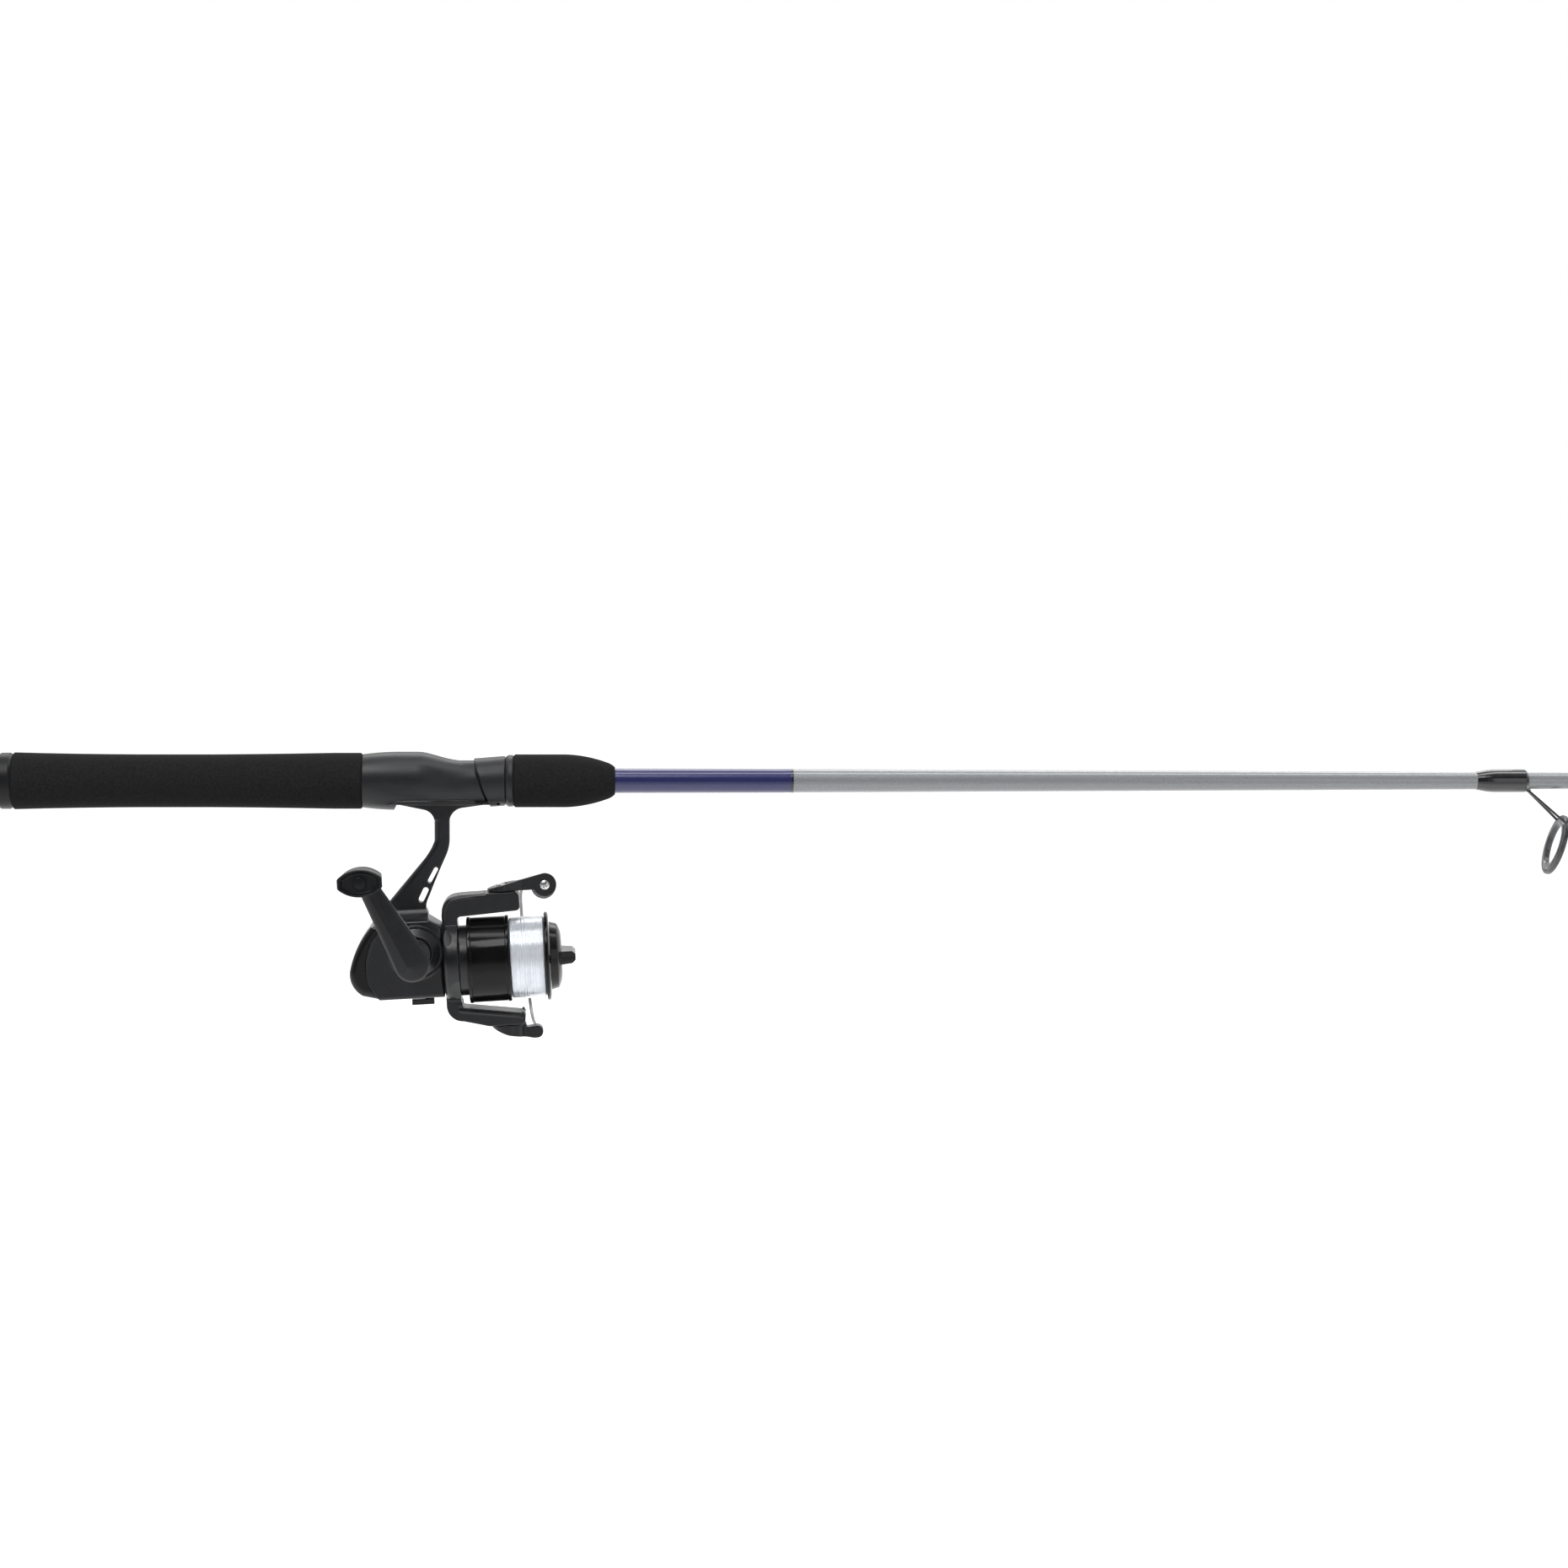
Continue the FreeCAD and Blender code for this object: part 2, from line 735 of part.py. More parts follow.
def make_hood_nut():
    """The threaded ring glued in the back of the fore grip; it pushes the hood."""
    start = "hood_end + nut_gap"
    turned("hood_nut", [
        (start, "hood_radius - 0.6"),
        (f"{start} + 0.8", "hood_radius"),
        (f"{start} + 1.6", "nut_bead_radius"),
        ("fore_grip_start - 0.6", "nut_bead_radius"),
        ("fore_grip_start - glue_gap", "nut_bead_radius - 0.5"),
        ("fore_grip_start - glue_gap", "seat_thread_radius + nut_fit"),
        (start, "seat_thread_radius + nut_fit"),
    ])


def make_fore_grip():
    bore = "seat_thread_radius + nut_fit"
    neck = "blank_grip_radius + nose_bore_gap"
    deep = "thread_end + 2"
    knee = "fore_grip_end - nose_back"
    turned("fore_grip", [
        ("fore_grip_start", "fore_grip_radius - grip_edge"),
        ("fore_grip_start + grip_edge", "fore_grip_radius"),
        ("nose_start", "fore_grip_radius",
         f"(nose_start + {knee}) / 2 + 1", "(fore_grip_radius + nose_shoulder) / 2 + 0.55"),
        (knee, "nose_shoulder",
         "fore_grip_end - 1.2", "nose_radius + 1"),
        ("fore_grip_end", "nose_radius"),
        ("fore_grip_end", neck),
        (deep, neck),
        (deep, bore),
        ("fore_grip_start", bore),
    ])


# Line guides

def ring_profile(outer, inner, width):
    """A ring about the X axis with softly bevelled rims, centred on the origin."""
    bevel = min(width, outer - inner) * 0.25
    half = width / 2
    corners = [(-half, inner + bevel), (-half, outer - bevel), (-half + bevel, outer),
               (half - bevel, outer), (half, outer - bevel), (half, inner + bevel),
               (half - bevel, inner), (-half + bevel, inner)]
    return Part.Face(flat_wire(corners, 0)).revolve(vector(0, 0, 0), vector(1, 0, 0), 360)


def ring_place(centre):
    """Where a guide's ring stands: its foot end leans towards the tip."""
    return FreeCAD.Placement(centre, FreeCAD.Rotation(vector(0, 1, 0), number("guide_tilt")))


def guide_seat(start, length):
    """How low the flat of a guide's foot lies below the rod's axis."""
    return -max(blank_radius(start), blank_radius(start + length)) - number("glue_gap")


def guide_frame(start, length, centre, outer, scale):
    """A foot along the underside of the blank, two legs and the ring's frame, from the foot's heel."""
    thickness = number("guide_foot_thickness") * scale
    width = number("guide_foot_width") * scale
    leg = number("guide_leg_radius") * scale
    seat = guide_seat(start, length)
    frame = block((length * 0.3, length + 1.5), (-width / 2, width / 2), (seat - thickness, seat))
    rim = outer - number("guide_rim") * scale
    holder = ring_profile(outer, rim, number("guide_ring_width") * scale)
    holder.Placement = ring_place(centre)
    for side in (-1, 1):
        reach = outer - leg
        spread = math.radians(number("guide_leg_spread")) * side
        local = vector(0, reach * math.sin(spread), reach * math.cos(spread))
        joint = ring_place(centre).multVec(local)
        root = vector(length + 0.5, side * (width / 2 - leg), seat - thickness / 2)
        along = joint - root
        frame = frame.fuse(Part.makeCylinder(leg, along.Length, root, along))
        frame = frame.fuse(Part.makeSphere(leg, joint))
    frame = frame.fuse(holder).removeSplitter()
    bore = rod_x(rim, -4 * scale, 4 * scale)
    bore.Placement = ring_place(centre)
    return frame.cut(bore)


def guide_insert(centre, outer, scale):
    """The hard ring that the line runs through, with a short straight land."""
    rim = outer - number("guide_rim") * scale - number("insert_fit")
    bore = rim - number("guide_insert_wall") * scale
    insert = ring_profile(rim, bore, number("guide_insert_width") * scale)
    insert.Placement = ring_place(centre)
    return insert


def foot_wrap(start, length, scale):
    """Varnished thread over a guide's foot, as a swelling that covers it."""
    gap = number("glue_gap")
    heel = blank_radius(start) + gap
    toe = blank_radius(start + length) + gap
    lip = number("wrap_lip")
    half = number("guide_foot_width") * scale / 2 + gap
    seat = guide_seat(start, length)
    low = seat - number("guide_foot_thickness") * scale - gap
    crest = math.hypot(half, low) + number("wrap_skin")
    corners = [(0, heel + lip), (length * 0.25, crest), (length - 1.2 * scale, crest),
               (length, toe + lip), (length, toe), (0, heel)]
    swelling = Part.Face(flat_wire(corners, 0)).revolve(vector(0, 0, 0), vector(1, 0, 0), 360)
    slot = block((length * 0.3 - gap, length + 2), (-half, half), (low, seat + 0.6 * scale))
    return swelling.cut(slot)


def at_station(shape, start):
    """A guide's piece moved from the origin to its place along the rod."""
    shape.translate(vector(start, 0, 0))
    return shape


def make_guide(label, start, length, reach, drop, ring, scale):
    """One guide's frame and ring; returns its wrap."""
    centre = vector(length + reach, 0, -drop)
    shaped(f"{label}_frame", at_station(guide_frame(start, length, centre, ring, scale), start))
    shaped(f"{label}_ring", at_station(guide_insert(centre, ring, scale), start))
    return at_station(foot_wrap(start, length, scale), start)


def make_guides():
    outer = number("stripper_ring_radius")
    length = number("guide_foot_length")
    reach = number("stripper_reach")
    wrap = make_guide("stripper_guide", number("stripper_station"), length, reach,
                      number("stripper_drop"), outer, 1)
    shaped("stripper_guide_wrap", wrap)
    wraps = []
    for index in range(int(SIZES["small_guide_first"]), int(SIZES["small_guide_last"]) + 1):
        label = f"guide_{index}"
        ring = number(f"{label}_radius")
        share = ring / outer
        foot = length * (0.45 + 0.55 * share)
        start = number(f"rod_length - {label}_back") - foot - reach * share
        wraps.append(make_guide(label, start, foot, reach * share, number(f"{label}_drop"),
                                ring, 0.35 + 0.65 * share))
    shaped("guide_wraps", Part.makeCompound(wraps))


def make_tip_top():
    """The tube over the rod's end, with its small ring."""
    end = number("rod_length")
    start = end - number("tip_inset + tip_tube_length") + 0.5
    outer = number("tip_end_radius + tip_tube_wall") + 0.35
    tube = rod_x(outer, start, end - 1)
    bore = rod_x(blank_radius(start) + number("glue_gap"), start - 1, end - number("tip_inset"))
    ring = number("tip_ring_radius")
    rim = ring - number("tip_ring_rim")
    centre = vector(end - number("tip_ring_back"), 0, -ring - 0.6)
    holder = ring_profile(ring, rim, 1.6)
    holder.Placement = ring_place(centre)
    frame = tube.fuse(holder).removeSplitter().cut(bore)
    hole = rod_x(rim, -1.2, 1.2)
    hole.Placement = ring_place(centre)
    shaped("tip_top_frame", frame.cut(hole))
    insert = ring_profile(rim - number("insert_fit"), rim - number("tip_ring_wall"), 1.9)
    insert.Placement = ring_place(centre)
    shaped("tip_top_ring", insert)


def make_rod():
    make_butt_cap()
    make_rear_grip()
    make_butt_blank()
    make_reel_seat()
    make_seat_arbors()
    make_sliding_hood()
    make_hood_nut()
    make_fore_grip()
    make_tip_blank()
    make_ferrule_wrap()
    make_guides()
    make_tip_top()


# Reel housing, drawn in the reel's frame

def joint_line(shift):
    """The arc where the rear cover meets the casing, from its top to its bottom."""
    top = (-number("joint_top_back") - shift, number("cover_top - joint_top_drop"))
    bottom = (-number("joint_low_back") - shift, -number("casing_bottom"))
    return top, (-number("joint_bow") - shift, -1.0), bottom


def casing_outline(top_height):
    """The side view of the casing in front of the rear cover."""
    front = number("casing_front")
    bottom = -number("casing_bottom")
    top, via, low = joint_line(0)
    return [(front, bottom), (front, top_height - number("casing_slope_drop")),
            (front - number("casing_slope"), top_height), (top[0] + 0.4, top_height),
            (top[0], top[1], via[0], via[1]), low]


def stem_height(share):
    """A height on the stem, as a share of the way from its root on the casing up to the foot."""
    root = number("cover_top + stem_root_rise - spool_depth")
    under = -number("foot_bed + foot_thickness")
    return root + share * (under - root)


def stem_outline():
    """The side view of the stem, from the foot down into the casing, in the rod's frame."""
    x = number("reel_station")
    under = stem_height(1)
    front = x + number("stem_front")
    back = front - number("stem_width")
    deep = number("cavity_top - spool_depth") + 0.4
    toe = x + number("casing_front") - 1.4
    reach = number("stem_flare")
    return [
        (toe, deep), (toe, deep + 1.3, x + 4.9, stem_height(0)),
        (x + 4.5, stem_height(0.12)), (x + 6.0, stem_height(0.188), x + 9.6, stem_height(0.363)),
        (front - 1.6, stem_height(0.54), front - 0.3, stem_height(0.621)),
        (front, stem_height(0.694)),
        (front, under - 7.6, front + 1.9, under - 3.7), (front + 6.5, under - 1.6),
        (front + reach, under - 0.1), (front + reach, under + 0.6), (back - reach, under + 0.6),
        (back - reach, under - 0.1), (back - 4.7, under - 2.6, back - 1.2, under - 4.8),
        (back, under - 7.6),
        (back, stem_height(0.669), back - 1.4, stem_height(0.604)),
        (back - 6.4, stem_height(0.465)),
        (x - 16, stem_height(0.052)), (x - 20.2, deep + 2.4), (x - 16, deep),
    ]


def stem_slots():
    """Two slanting slots that lighten the stem, as capsules across it."""
    x = number("reel_station")
    reach = number("stem_half_width") + 20
    slots = []
    for start, end, radius in STEM_SLOTS:
        first = vector(x + start[0], -reach, stem_height(start[1]))
        last = vector(x + end[0], -reach, stem_height(end[1]))
        along = last - first
        side = along.cross(vector(0, 1, 0)).normalize() * radius
        corners = [first + side, last + side, last - side, first - side]
        face = Part.Face(Part.makePolygon(corners + corners[:1]))
        slot = face.extrude(vector(0, 2 * reach, 0))
        for end_point in (first, last):
            slot = slot.fuse(Part.makeCylinder(radius, 2 * reach, end_point, vector(0, 1, 0)))
        slots.append(slot)
    return slots[0].fuse(slots[1])


def shoulder():
    """The flare from the casing's width to the stem's, hollow at its sides."""
    half = number("casing_half_width")
    narrow = number("stem_half_width")
    low = number("cover_top")
    flare = None
    for index, (rise, share) in enumerate(SHOULDER_STEPS[:-1]):
        sections = []
        for height, part in ((rise, share), SHOULDER_STEPS[index + 1]):
            width = narrow + (half - narrow) * part
            back = -15.9 + height * 0.52
            corners = [vector(back, -width, low + height), vector(6.4, -width, low + height),
                       vector(6.4, width, low + height), vector(back, width, low + height)]
            sections.append(Part.makePolygon(corners + corners[:1]))
        step = Part.makeLoft(sections, True, True)
        flare = step if flare is None else flare.fuse(step)
    return flare.removeSplitter()


def cavity():
    """The room for the gears, open at the side cover and towards the rear cover."""
    low = -number("cavity_bottom")
    high = number("cavity_top")
    return block((-30, number("cavity_front")), (-number("cover_joint") - 0.01,
                 number("casing_half_width - side_wall")), (low, high))


def case_screw_places():
    low = -(number("cavity_bottom") + number("casing_bottom")) / 2
    high = (number("cavity_top") + number("cover_top")) / 2
    return [(-4.0, high), (-12.0, low), (1.5, low)]


def lever_slot():
    """The opening under the casing that the anti-reverse lever swings in."""
    barrel = -number("cavity_bottom") + 2
    reach = (number("casing_bottom") + barrel) * math.tan(math.radians(number("lever_swing"))) + 2.1
    front = number("lever_station - reel_station") + 1.0
    return block((front - 4.2, front + 0.2), (-reach, reach), (-30, barrel))


def make_reel_body():
    half = number("casing_half_width")
    joint = -number("cover_joint")
    gap = number("running_gap")
    case = rounded(slab(casing_outline(number("cover_top")), joint, half), number("casing_round"),
                   lambda point: point.y > half - 0.01 and point.x > -15)
    case = case.fuse(shoulder())
    case.Placement = reel_placement()
    foot_half = number("foot_half_width")
    bed = -number("foot_bed")
    foot = block((number("foot_start"), number("foot_end")), (-foot_half, foot_half),
                 (bed - number("foot_thickness"), bed - number("glue_gap")))
    foot = rounded(foot, 5, lambda point: abs(point.z - bed + number("foot_thickness") / 2) < 0.2
                   and abs(point.y) > foot_half - 0.01)
    web_half = number("stem_half_width")
    web = slab(stem_outline(), -web_half, web_half)
    body = case.fuse(web).fuse(foot).cut(stem_slots())
    # The casing's hollows are cut in the reel's frame.
    cuts = cavity().fuse(lever_slot())
    cuts = cuts.fuse(rod_x(number("bearing_radius") + number("glue_gap"), number("cavity_front") - 1, 20))
    cuts = cuts.fuse(rod_y(number("bush_radius") + number("glue_gap"), 0, half + 1,
                           0, number("crank_offset")))
    for x, z in case_screw_places():
        cuts = cuts.fuse(rod_y(number("screw_radius") + gap, joint - 1, half + 1, x, z))
        cuts = cuts.fuse(rod_y(number("screw_head_radius") + gap, half - number("screw_head_height"),
                               half + 1, x, z))
    barrel = -number("cavity_bottom") + 2
    cuts = cuts.fuse(rod_x(number("lever_barrel_radius") + gap, 0, 11, z=barrel))
    cuts.Placement = reel_placement()
    body = body.cut(cuts)
    lug = block((-3.0, -0.8), (-2.6, 2.6), (-number("cavity_bottom") - 0.5, barrel + 2.4))
    lug = lug.cut(rod_x(number("lever_barrel_radius") - 0.5 + gap, -4, 0, z=barrel))
    lug.Placement = reel_placement()
    shaped("reel_body", body.fuse(lug).removeSplitter())


def make_side_cover():
    """The cover over the gears, with the crank's boss and the stud of the oscillation gear."""
    outer = -number("casing_half_width")
    joint = -number("cover_joint") - number("glue_gap")
    gap = number("running_gap")
    plate = slab(casing_outline(number("cover_top") - number("glue_gap")), outer, joint)
    plate = rounded(plate, number("cover_wall"), lambda point: point.y < outer + 0.01 and point.x > -15)
    crank = number("crank_offset")
    top = outer - number("boss_height")
    boss = Part.makeCone(number("boss_radius"), number("boss_top_radius"), number("boss_height"),
                         vector(0, outer, crank), vector(0, -1, 0))
    x, z = oscillation_centre()
    stud = rod_y(number("throw_pin_radius") + 0.3, joint - 1, -number("gear_start") + 0.1, x, z)
    cover = plate.fuse(boss).fuse(stud)
    bush = number("bush_radius") + number("glue_gap")
    cover = cover.cut(rod_y(bush, joint - number("bush_length") - 0.1, joint + 1, 0, crank))
    cover = cover.cut(rod_y(number("handle_sleeve_radius") + 0.3, top - 1, joint, 0, crank))
    for x, z in case_screw_places():
        cover = cover.cut(rod_y(number("screw_radius") + gap, outer + 0.8, joint + 1, x, z))
    cover.Placement = reel_placement()
    shaped("side_cover", cover.removeSplitter())


def make_rear_cover():
    """The smooth shell over the back of the casing."""
    half = number("rear_cover_width")
    wall = number("cover_wall")
    top, via, low = joint_line(number("glue_gap"))
    back = -number("rear_cover_back")
    high = number("cover_top")
    low_edge = -number("casing_bottom")
    outer = [(-8, high), (-18.4, high, back + 3.7, 9.0), (back, -1.2, back + 0.9, -8.0),
             (back + 5.5, low_edge + 2.2), (-17, low_edge), (-8, low_edge)]
    shell = rounded(slab(outer, -half, half), number("casing_round"),
                    lambda point: abs(point.y) > half - 0.01 and point.x < -9)
    ahead = slab([top, (-22, 20.0), (-22, 30), (0, 30), (0, -30), (low[0], -30),
                  (low[0], low[1], via[0], via[1])], -half - 1, half + 1)
    shell = shell.cut(ahead)
    roof = high - 5.2
    floor = -number("cavity_bottom")
    room = slab([(-12, roof), (-19.6, roof, back + 4.3, 5.2), (back + wall, -1.2, back + 1.9, -7.6),
                 (back + 6.1, floor), (-12, floor)], -half + wall, half - wall)
    cover = shell.cut(room)
    cover.Placement = reel_placement()
    shaped("rear_cover", cover)


def make_body_screws():
    """Three screws from the far side, through the casing's rim into the side cover."""
    half = number("casing_half_width")
    screws = []
    for x, z in case_screw_places():
        shank = rod_y(number("screw_radius"), -half + 1.0, half - 0.5, x, z)
        sunk = half - number("screw_head_height") + 0.01
        head = rod_y(number("screw_head_radius"), sunk, half - 0.1, x, z)
        slot = block((x - 1.2, x + 1.2), (half - 0.6, half + 1), (z - 0.25, z + 0.25))
        screws.append(shank.fuse(head).cut(slot).removeSplitter())
    group = Part.makeCompound(screws)
    group.Placement = reel_placement()
    shaped("body_screws", group)


def make_bushes():
    """The two bushes of the crank and the ball race of the pinion, as plain rings."""
    crank = number("crank_offset")
    bore = number("drive_tube_radius + running_gap")
    outer = number("bush_radius")
    length = number("bush_length")
    rings = []
    for start in (-number("cover_joint") - 0.02 - length, number("casing_half_width") - length):
        ring = rod_y(outer, start, start + length, 0, crank)
        rings.append(ring.cut(rod_y(bore, start - 1, start + length + 1, 0, crank)))
    group = Part.makeCompound(rings)
    group.Placement = reel_placement()
    shaped("drive_bushes", group)
    start = number("cavity_front")
    race = rod_x(number("bearing_radius"), start, number("casing_front"))
    race = race.cut(rod_x(number("pinion_journal_radius + running_gap"), start - 1, 20))
    race.Placement = reel_placement()
    shaped("pinion_bearing", race)


def make_anti_reverse_lever():
    """A barrel along the reel's axis, a stem through the slot and a finger tab."""
    gap = number("running_gap")
    low = -number("cavity_bottom")
    barrel = low + 2
    front = number("lever_station - reel_station") + 1.0
    bottom = low - number("stop_tab_drop")
    radius = number("lever_barrel_radius")
    pin = rod_x(radius, -0.6, 11 - 2 * gap, z=barrel).fuse(rod_x(radius - 0.5, -2.6, 0, z=barrel))
    stem = block((front - 4.0, front), (-1.4, 1.4), (bottom, barrel))
    tab = block((front - number("stop_tab_length"), front), (-2.2, 2.2),
                (bottom, bottom + number("stop_tab_height")))
    lever = pin.fuse(stem).fuse(tab).removeSplitter()
    lever.Placement = reel_placement()
    shaped("anti_reverse_lever", lever)


# Gears

def involute_gear(teeth, module, start, end, x, z, turn):
    """A spur gear along Y with involute flanks, thinned by the backlash."""
    pitch = module * teeth / 2
    base = pitch * math.cos(math.radians(20))
    tip = pitch + module
    root = pitch - 1.25 * module
    backlash = number("gear_backlash")
    half_tooth = math.pi / (2 * teeth) - backlash / (2 * pitch)
    involute_pitch = math.tan(math.radians(20)) - math.radians(20)
    flank = []
    for step in range(5):
        radius = max(base, root) + (tip - max(base, root)) * step / 4
        pressure = math.acos(min(1.0, base / radius))
        lead = half_tooth + involute_pitch - (math.tan(pressure) - pressure)
        flank.append((radius, lead))
    points = []
    for tooth in range(teeth):
        middle = turn + 2 * math.pi * tooth / teeth
        rise = [(root, -flank[0][1])] + [(radius, -lead) for radius, lead in flank]
        fall = [(radius, lead) for radius, lead in reversed(flank)] + [(root, flank[0][1])]
        for radius, lead in rise + fall:
            angle = middle + lead
            points.append((x + radius * math.cos(angle), z + radius * math.sin(angle)))
    corners = [vector(px, start, pz) for px, pz in points]
    return Part.Face(Part.makePolygon(corners + corners[:1])).extrude(vector(0, end - start, 0))


def oscillation_centre():
    """The centre of the oscillation gear, behind and below the crank."""
    distance = number("gear_module * (crank_gear_teeth + oscillation_teeth) / 2")
    drop = number("oscillation_drop")
    return -math.sqrt(distance ** 2 - drop ** 2), number("crank_offset") - drop


def make_drive_gear():
    """The face gear and its tube, with the small gear that drives the oscillation."""
    crank = number("crank_offset")
    outer = number("drive_ring_outer")
    inner = number("drive_ring_inner")
    start = number("drive_disc_start")
    tube = number("drive_tube_radius")
    low = -number("cover_joint") - number("bush_length")
    high = number("casing_half_width") - 0.1
    gear = rod_y(outer + 0.2, start, start + number("drive_disc_thickness"), 0, crank)
    gear = gear.fuse(rod_y(tube, low, high, 0, crank))
    count = int(number("drive_teeth"))
    width = math.pi * inner / count * 0.9
    tooth = block((inner, outer), (start - number("drive_tooth_height"), start + 0.2),
                  (-width / 2, width / 2))
    teeth = []
    for index in range(count):
        copy = tooth.copy()
        copy.Placement = FreeCAD.Placement(vector(0, 0, crank),
                                           FreeCAD.Rotation(vector(0, 1, 0), 360 * index / count))
        teeth.append(copy)
    x, z = oscillation_centre()
    line = math.atan2(z - crank, x)
    wide = -number("gear_start")
    small = involute_gear(int(number("crank_gear_teeth")), number("gear_module"),
                          wide - number("gear_width"), wide, 0, crank, line)
    gear = gear.multiFuse(teeth + [small])
    gear = gear.cut(rod_y(number("crank_radius + glue_gap"), low - 1, high + 1, 0, crank))
    gear.Placement = reel_placement()
    shaped("drive_gear", gear)


def make_oscillation_gear():
    """The gear whose pin carries the slider back and forth."""
    x, z = oscillation_centre()
    wide = -number("gear_start")
    line = math.atan2(number("crank_offset") - z, -x)
    teeth = int(number("oscillation_teeth"))
    gear = involute_gear(teeth, number("gear_module"), wide - number("gear_width"), wide, x, z,
                         line + math.pi / teeth)
    pin_end = -number("slider_half_width + part_gap")
    pin = rod_y(number("throw_pin_radius"), wide - 0.5, pin_end, x - number("crank_throw"), z)
    gear = gear.fuse(pin)
    bore = number("throw_pin_radius") + 0.3 + number("running_gap")
    gear = gear.cut(rod_y(bore, -20, pin_end + 1, x, z))
    gear.Placement = reel_placement()
    shaped("oscillation_gear", gear)


def make_pinion():
    """Teeth at the back, a journal in the race, and the seat and thread of the rotor."""
    count = int(number("pinion_teeth"))
    tip = number("pinion_tip_radius")
    root = number("pinion_root_radius")
    back = number("pinion_back")
    points = []
    for tooth in range(count):
        for share, radius in ((-0.26, root), (-0.14, tip), (0.14, tip), (0.26, root)):
            angle = 2 * math.pi * (tooth + 0.5 + share) / count
            points.append(vector(back, radius * math.cos(angle), radius * math.sin(angle)))
    length = number("pinion_teeth_front - pinion_back")
    teeth = Part.Face(Part.makePolygon(points + points[:1])).extrude(vector(length, 0, 0))
    journal = rod_x(number("pinion_journal_radius"), number("pinion_teeth_front") - 0.2,
                    number("rotor_back"))
    stub = rod_x(number("pinion_thread_radius"), number("rotor_back") - 0.5, number("pinion_front"))
    bore = rod_x(number("main_shaft_radius + running_gap"), 0, number("pinion_front") + 1)
    piece = teeth.fuse(journal).fuse(stub).cut(bore).removeSplitter()
    on_reel(shaped("pinion_gear", piece))


def make_shafts():
    shaft = turned("main_shaft", [
        ("-main_shaft_back", "0"),
        ("-main_shaft_back", "main_shaft_radius - 0.3"),
        ("-main_shaft_back + 0.3", "main_shaft_radius"),
        ("main_shaft_front - 0.4", "main_shaft_radius"),
        ("main_shaft_front", "main_shaft_radius - 0.4"),
        ("main_shaft_front", "0"),
    ])
    on_reel(shaft)
    half = number("slider_half_width")
    x, _ = oscillation_centre()
    middle = x - number("crank_throw")
    reach = number("slider_length") / 2
    slider = block((middle - reach, middle + reach), (-half, half),
                   (-number("slider_low"), number("slider_high")))
    slider = slider.cut(rod_x(number("main_shaft_radius + glue_gap"), middle - 10, middle + 10))
    on_reel(shaped("oscillation_slider", slider))
    crank = number("crank_offset")
    start = -number("handle_face") + 1.2
    axle = rod_y(number("crank_radius"), start, number("casing_half_width") - 0.3, 0, crank)
    on_reel(shaped("crank_shaft", axle))


# Handle

def handle_tip():
    """The knob's centre in the reel's frame."""
    angle = math.radians(number("handle_angle"))
    length = number("handle_length")
    return -length * math.sin(angle), number("crank_offset") + length * math.cos(angle)


def make_handle():
    crank = number("crank_offset")
    face = -number("handle_face")
    back = face + number("handle_thickness")
    x, z = handle_tip()
    angle = math.radians(number("handle_angle"))
    across = (math.cos(angle), math.sin(angle))
    root = number("handle_root_width") / 2
    tip = number("handle_tip_width") / 2
    bar = slab([(-across[0] * root, crank - across[1] * root),
                (across[0] * root, crank + across[1] * root),
                (x + across[0] * tip, z + across[1] * tip), (x - across[0] * tip, z - across[1] * tip)],
               face, back)
    arm = bar.fuse(rod_y(number("handle_hub_radius"), face, back, 0, crank))
    arm = arm.fuse(rod_y(tip, face, back, x, z)).removeSplitter()
    sleeve_end = -number("casing_half_width + boss_height") - 0.5
    arm = arm.fuse(rod_y(number("handle_sleeve_radius"), back - 0.5, sleeve_end, 0, crank))
    arm = arm.cut(rod_y(number("crank_radius + glue_gap"), face + 1.2 - 0.02, 0, 0, crank))
    pin = number("knob_pin_radius")
    arm = arm.cut(rod_y(pin + number("glue_gap"), face - 1, back + 1, x, z))
    on_reel(shaped("handle_arm", arm))
    start = -number("knob_start")
    end = -number("knob_end")
    recess = end + number("knob_recess_depth")
    head = rod_y(number("knob_pin_head"), end + 0.6, recess - 0.05, x, z)
    stem = rod_y(pin, recess - 0.1, back, x, z)
    on_reel(shaped("knob_pin", head.fuse(stem).removeSplitter()))
    half = number("knob_length") / 2
    high = number("knob_height") / 2
    blunt = high * 0.34
    eye = slab([(x - half, z - blunt, x, z - high), (x + half, z - blunt),
                (x + half, z + blunt, x, z + high), (x - half, z + blunt)], end, start)
    eye = rounded(eye, number("knob_round"), lambda point: point.y < end + 0.01)
    eye = eye.cut(rod_y(number("knob_recess_radius"), end - 1, recess, x, z))
    eye = eye.cut(rod_y(pin + number("running_gap"), end, start + 1, x, z))
    on_reel(shaped("handle_knob", eye))
    side = number("casing_half_width") + number("glue_gap")
    cap = rod_y(number("handle_cap_radius"), side, side + number("handle_cap_height"), 0, crank)
    cap = rounded(cap, 1.5, lambda point: point.y > side + 0.1)
    on_reel(shaped("handle_cap", cap))


# Rotor and bail

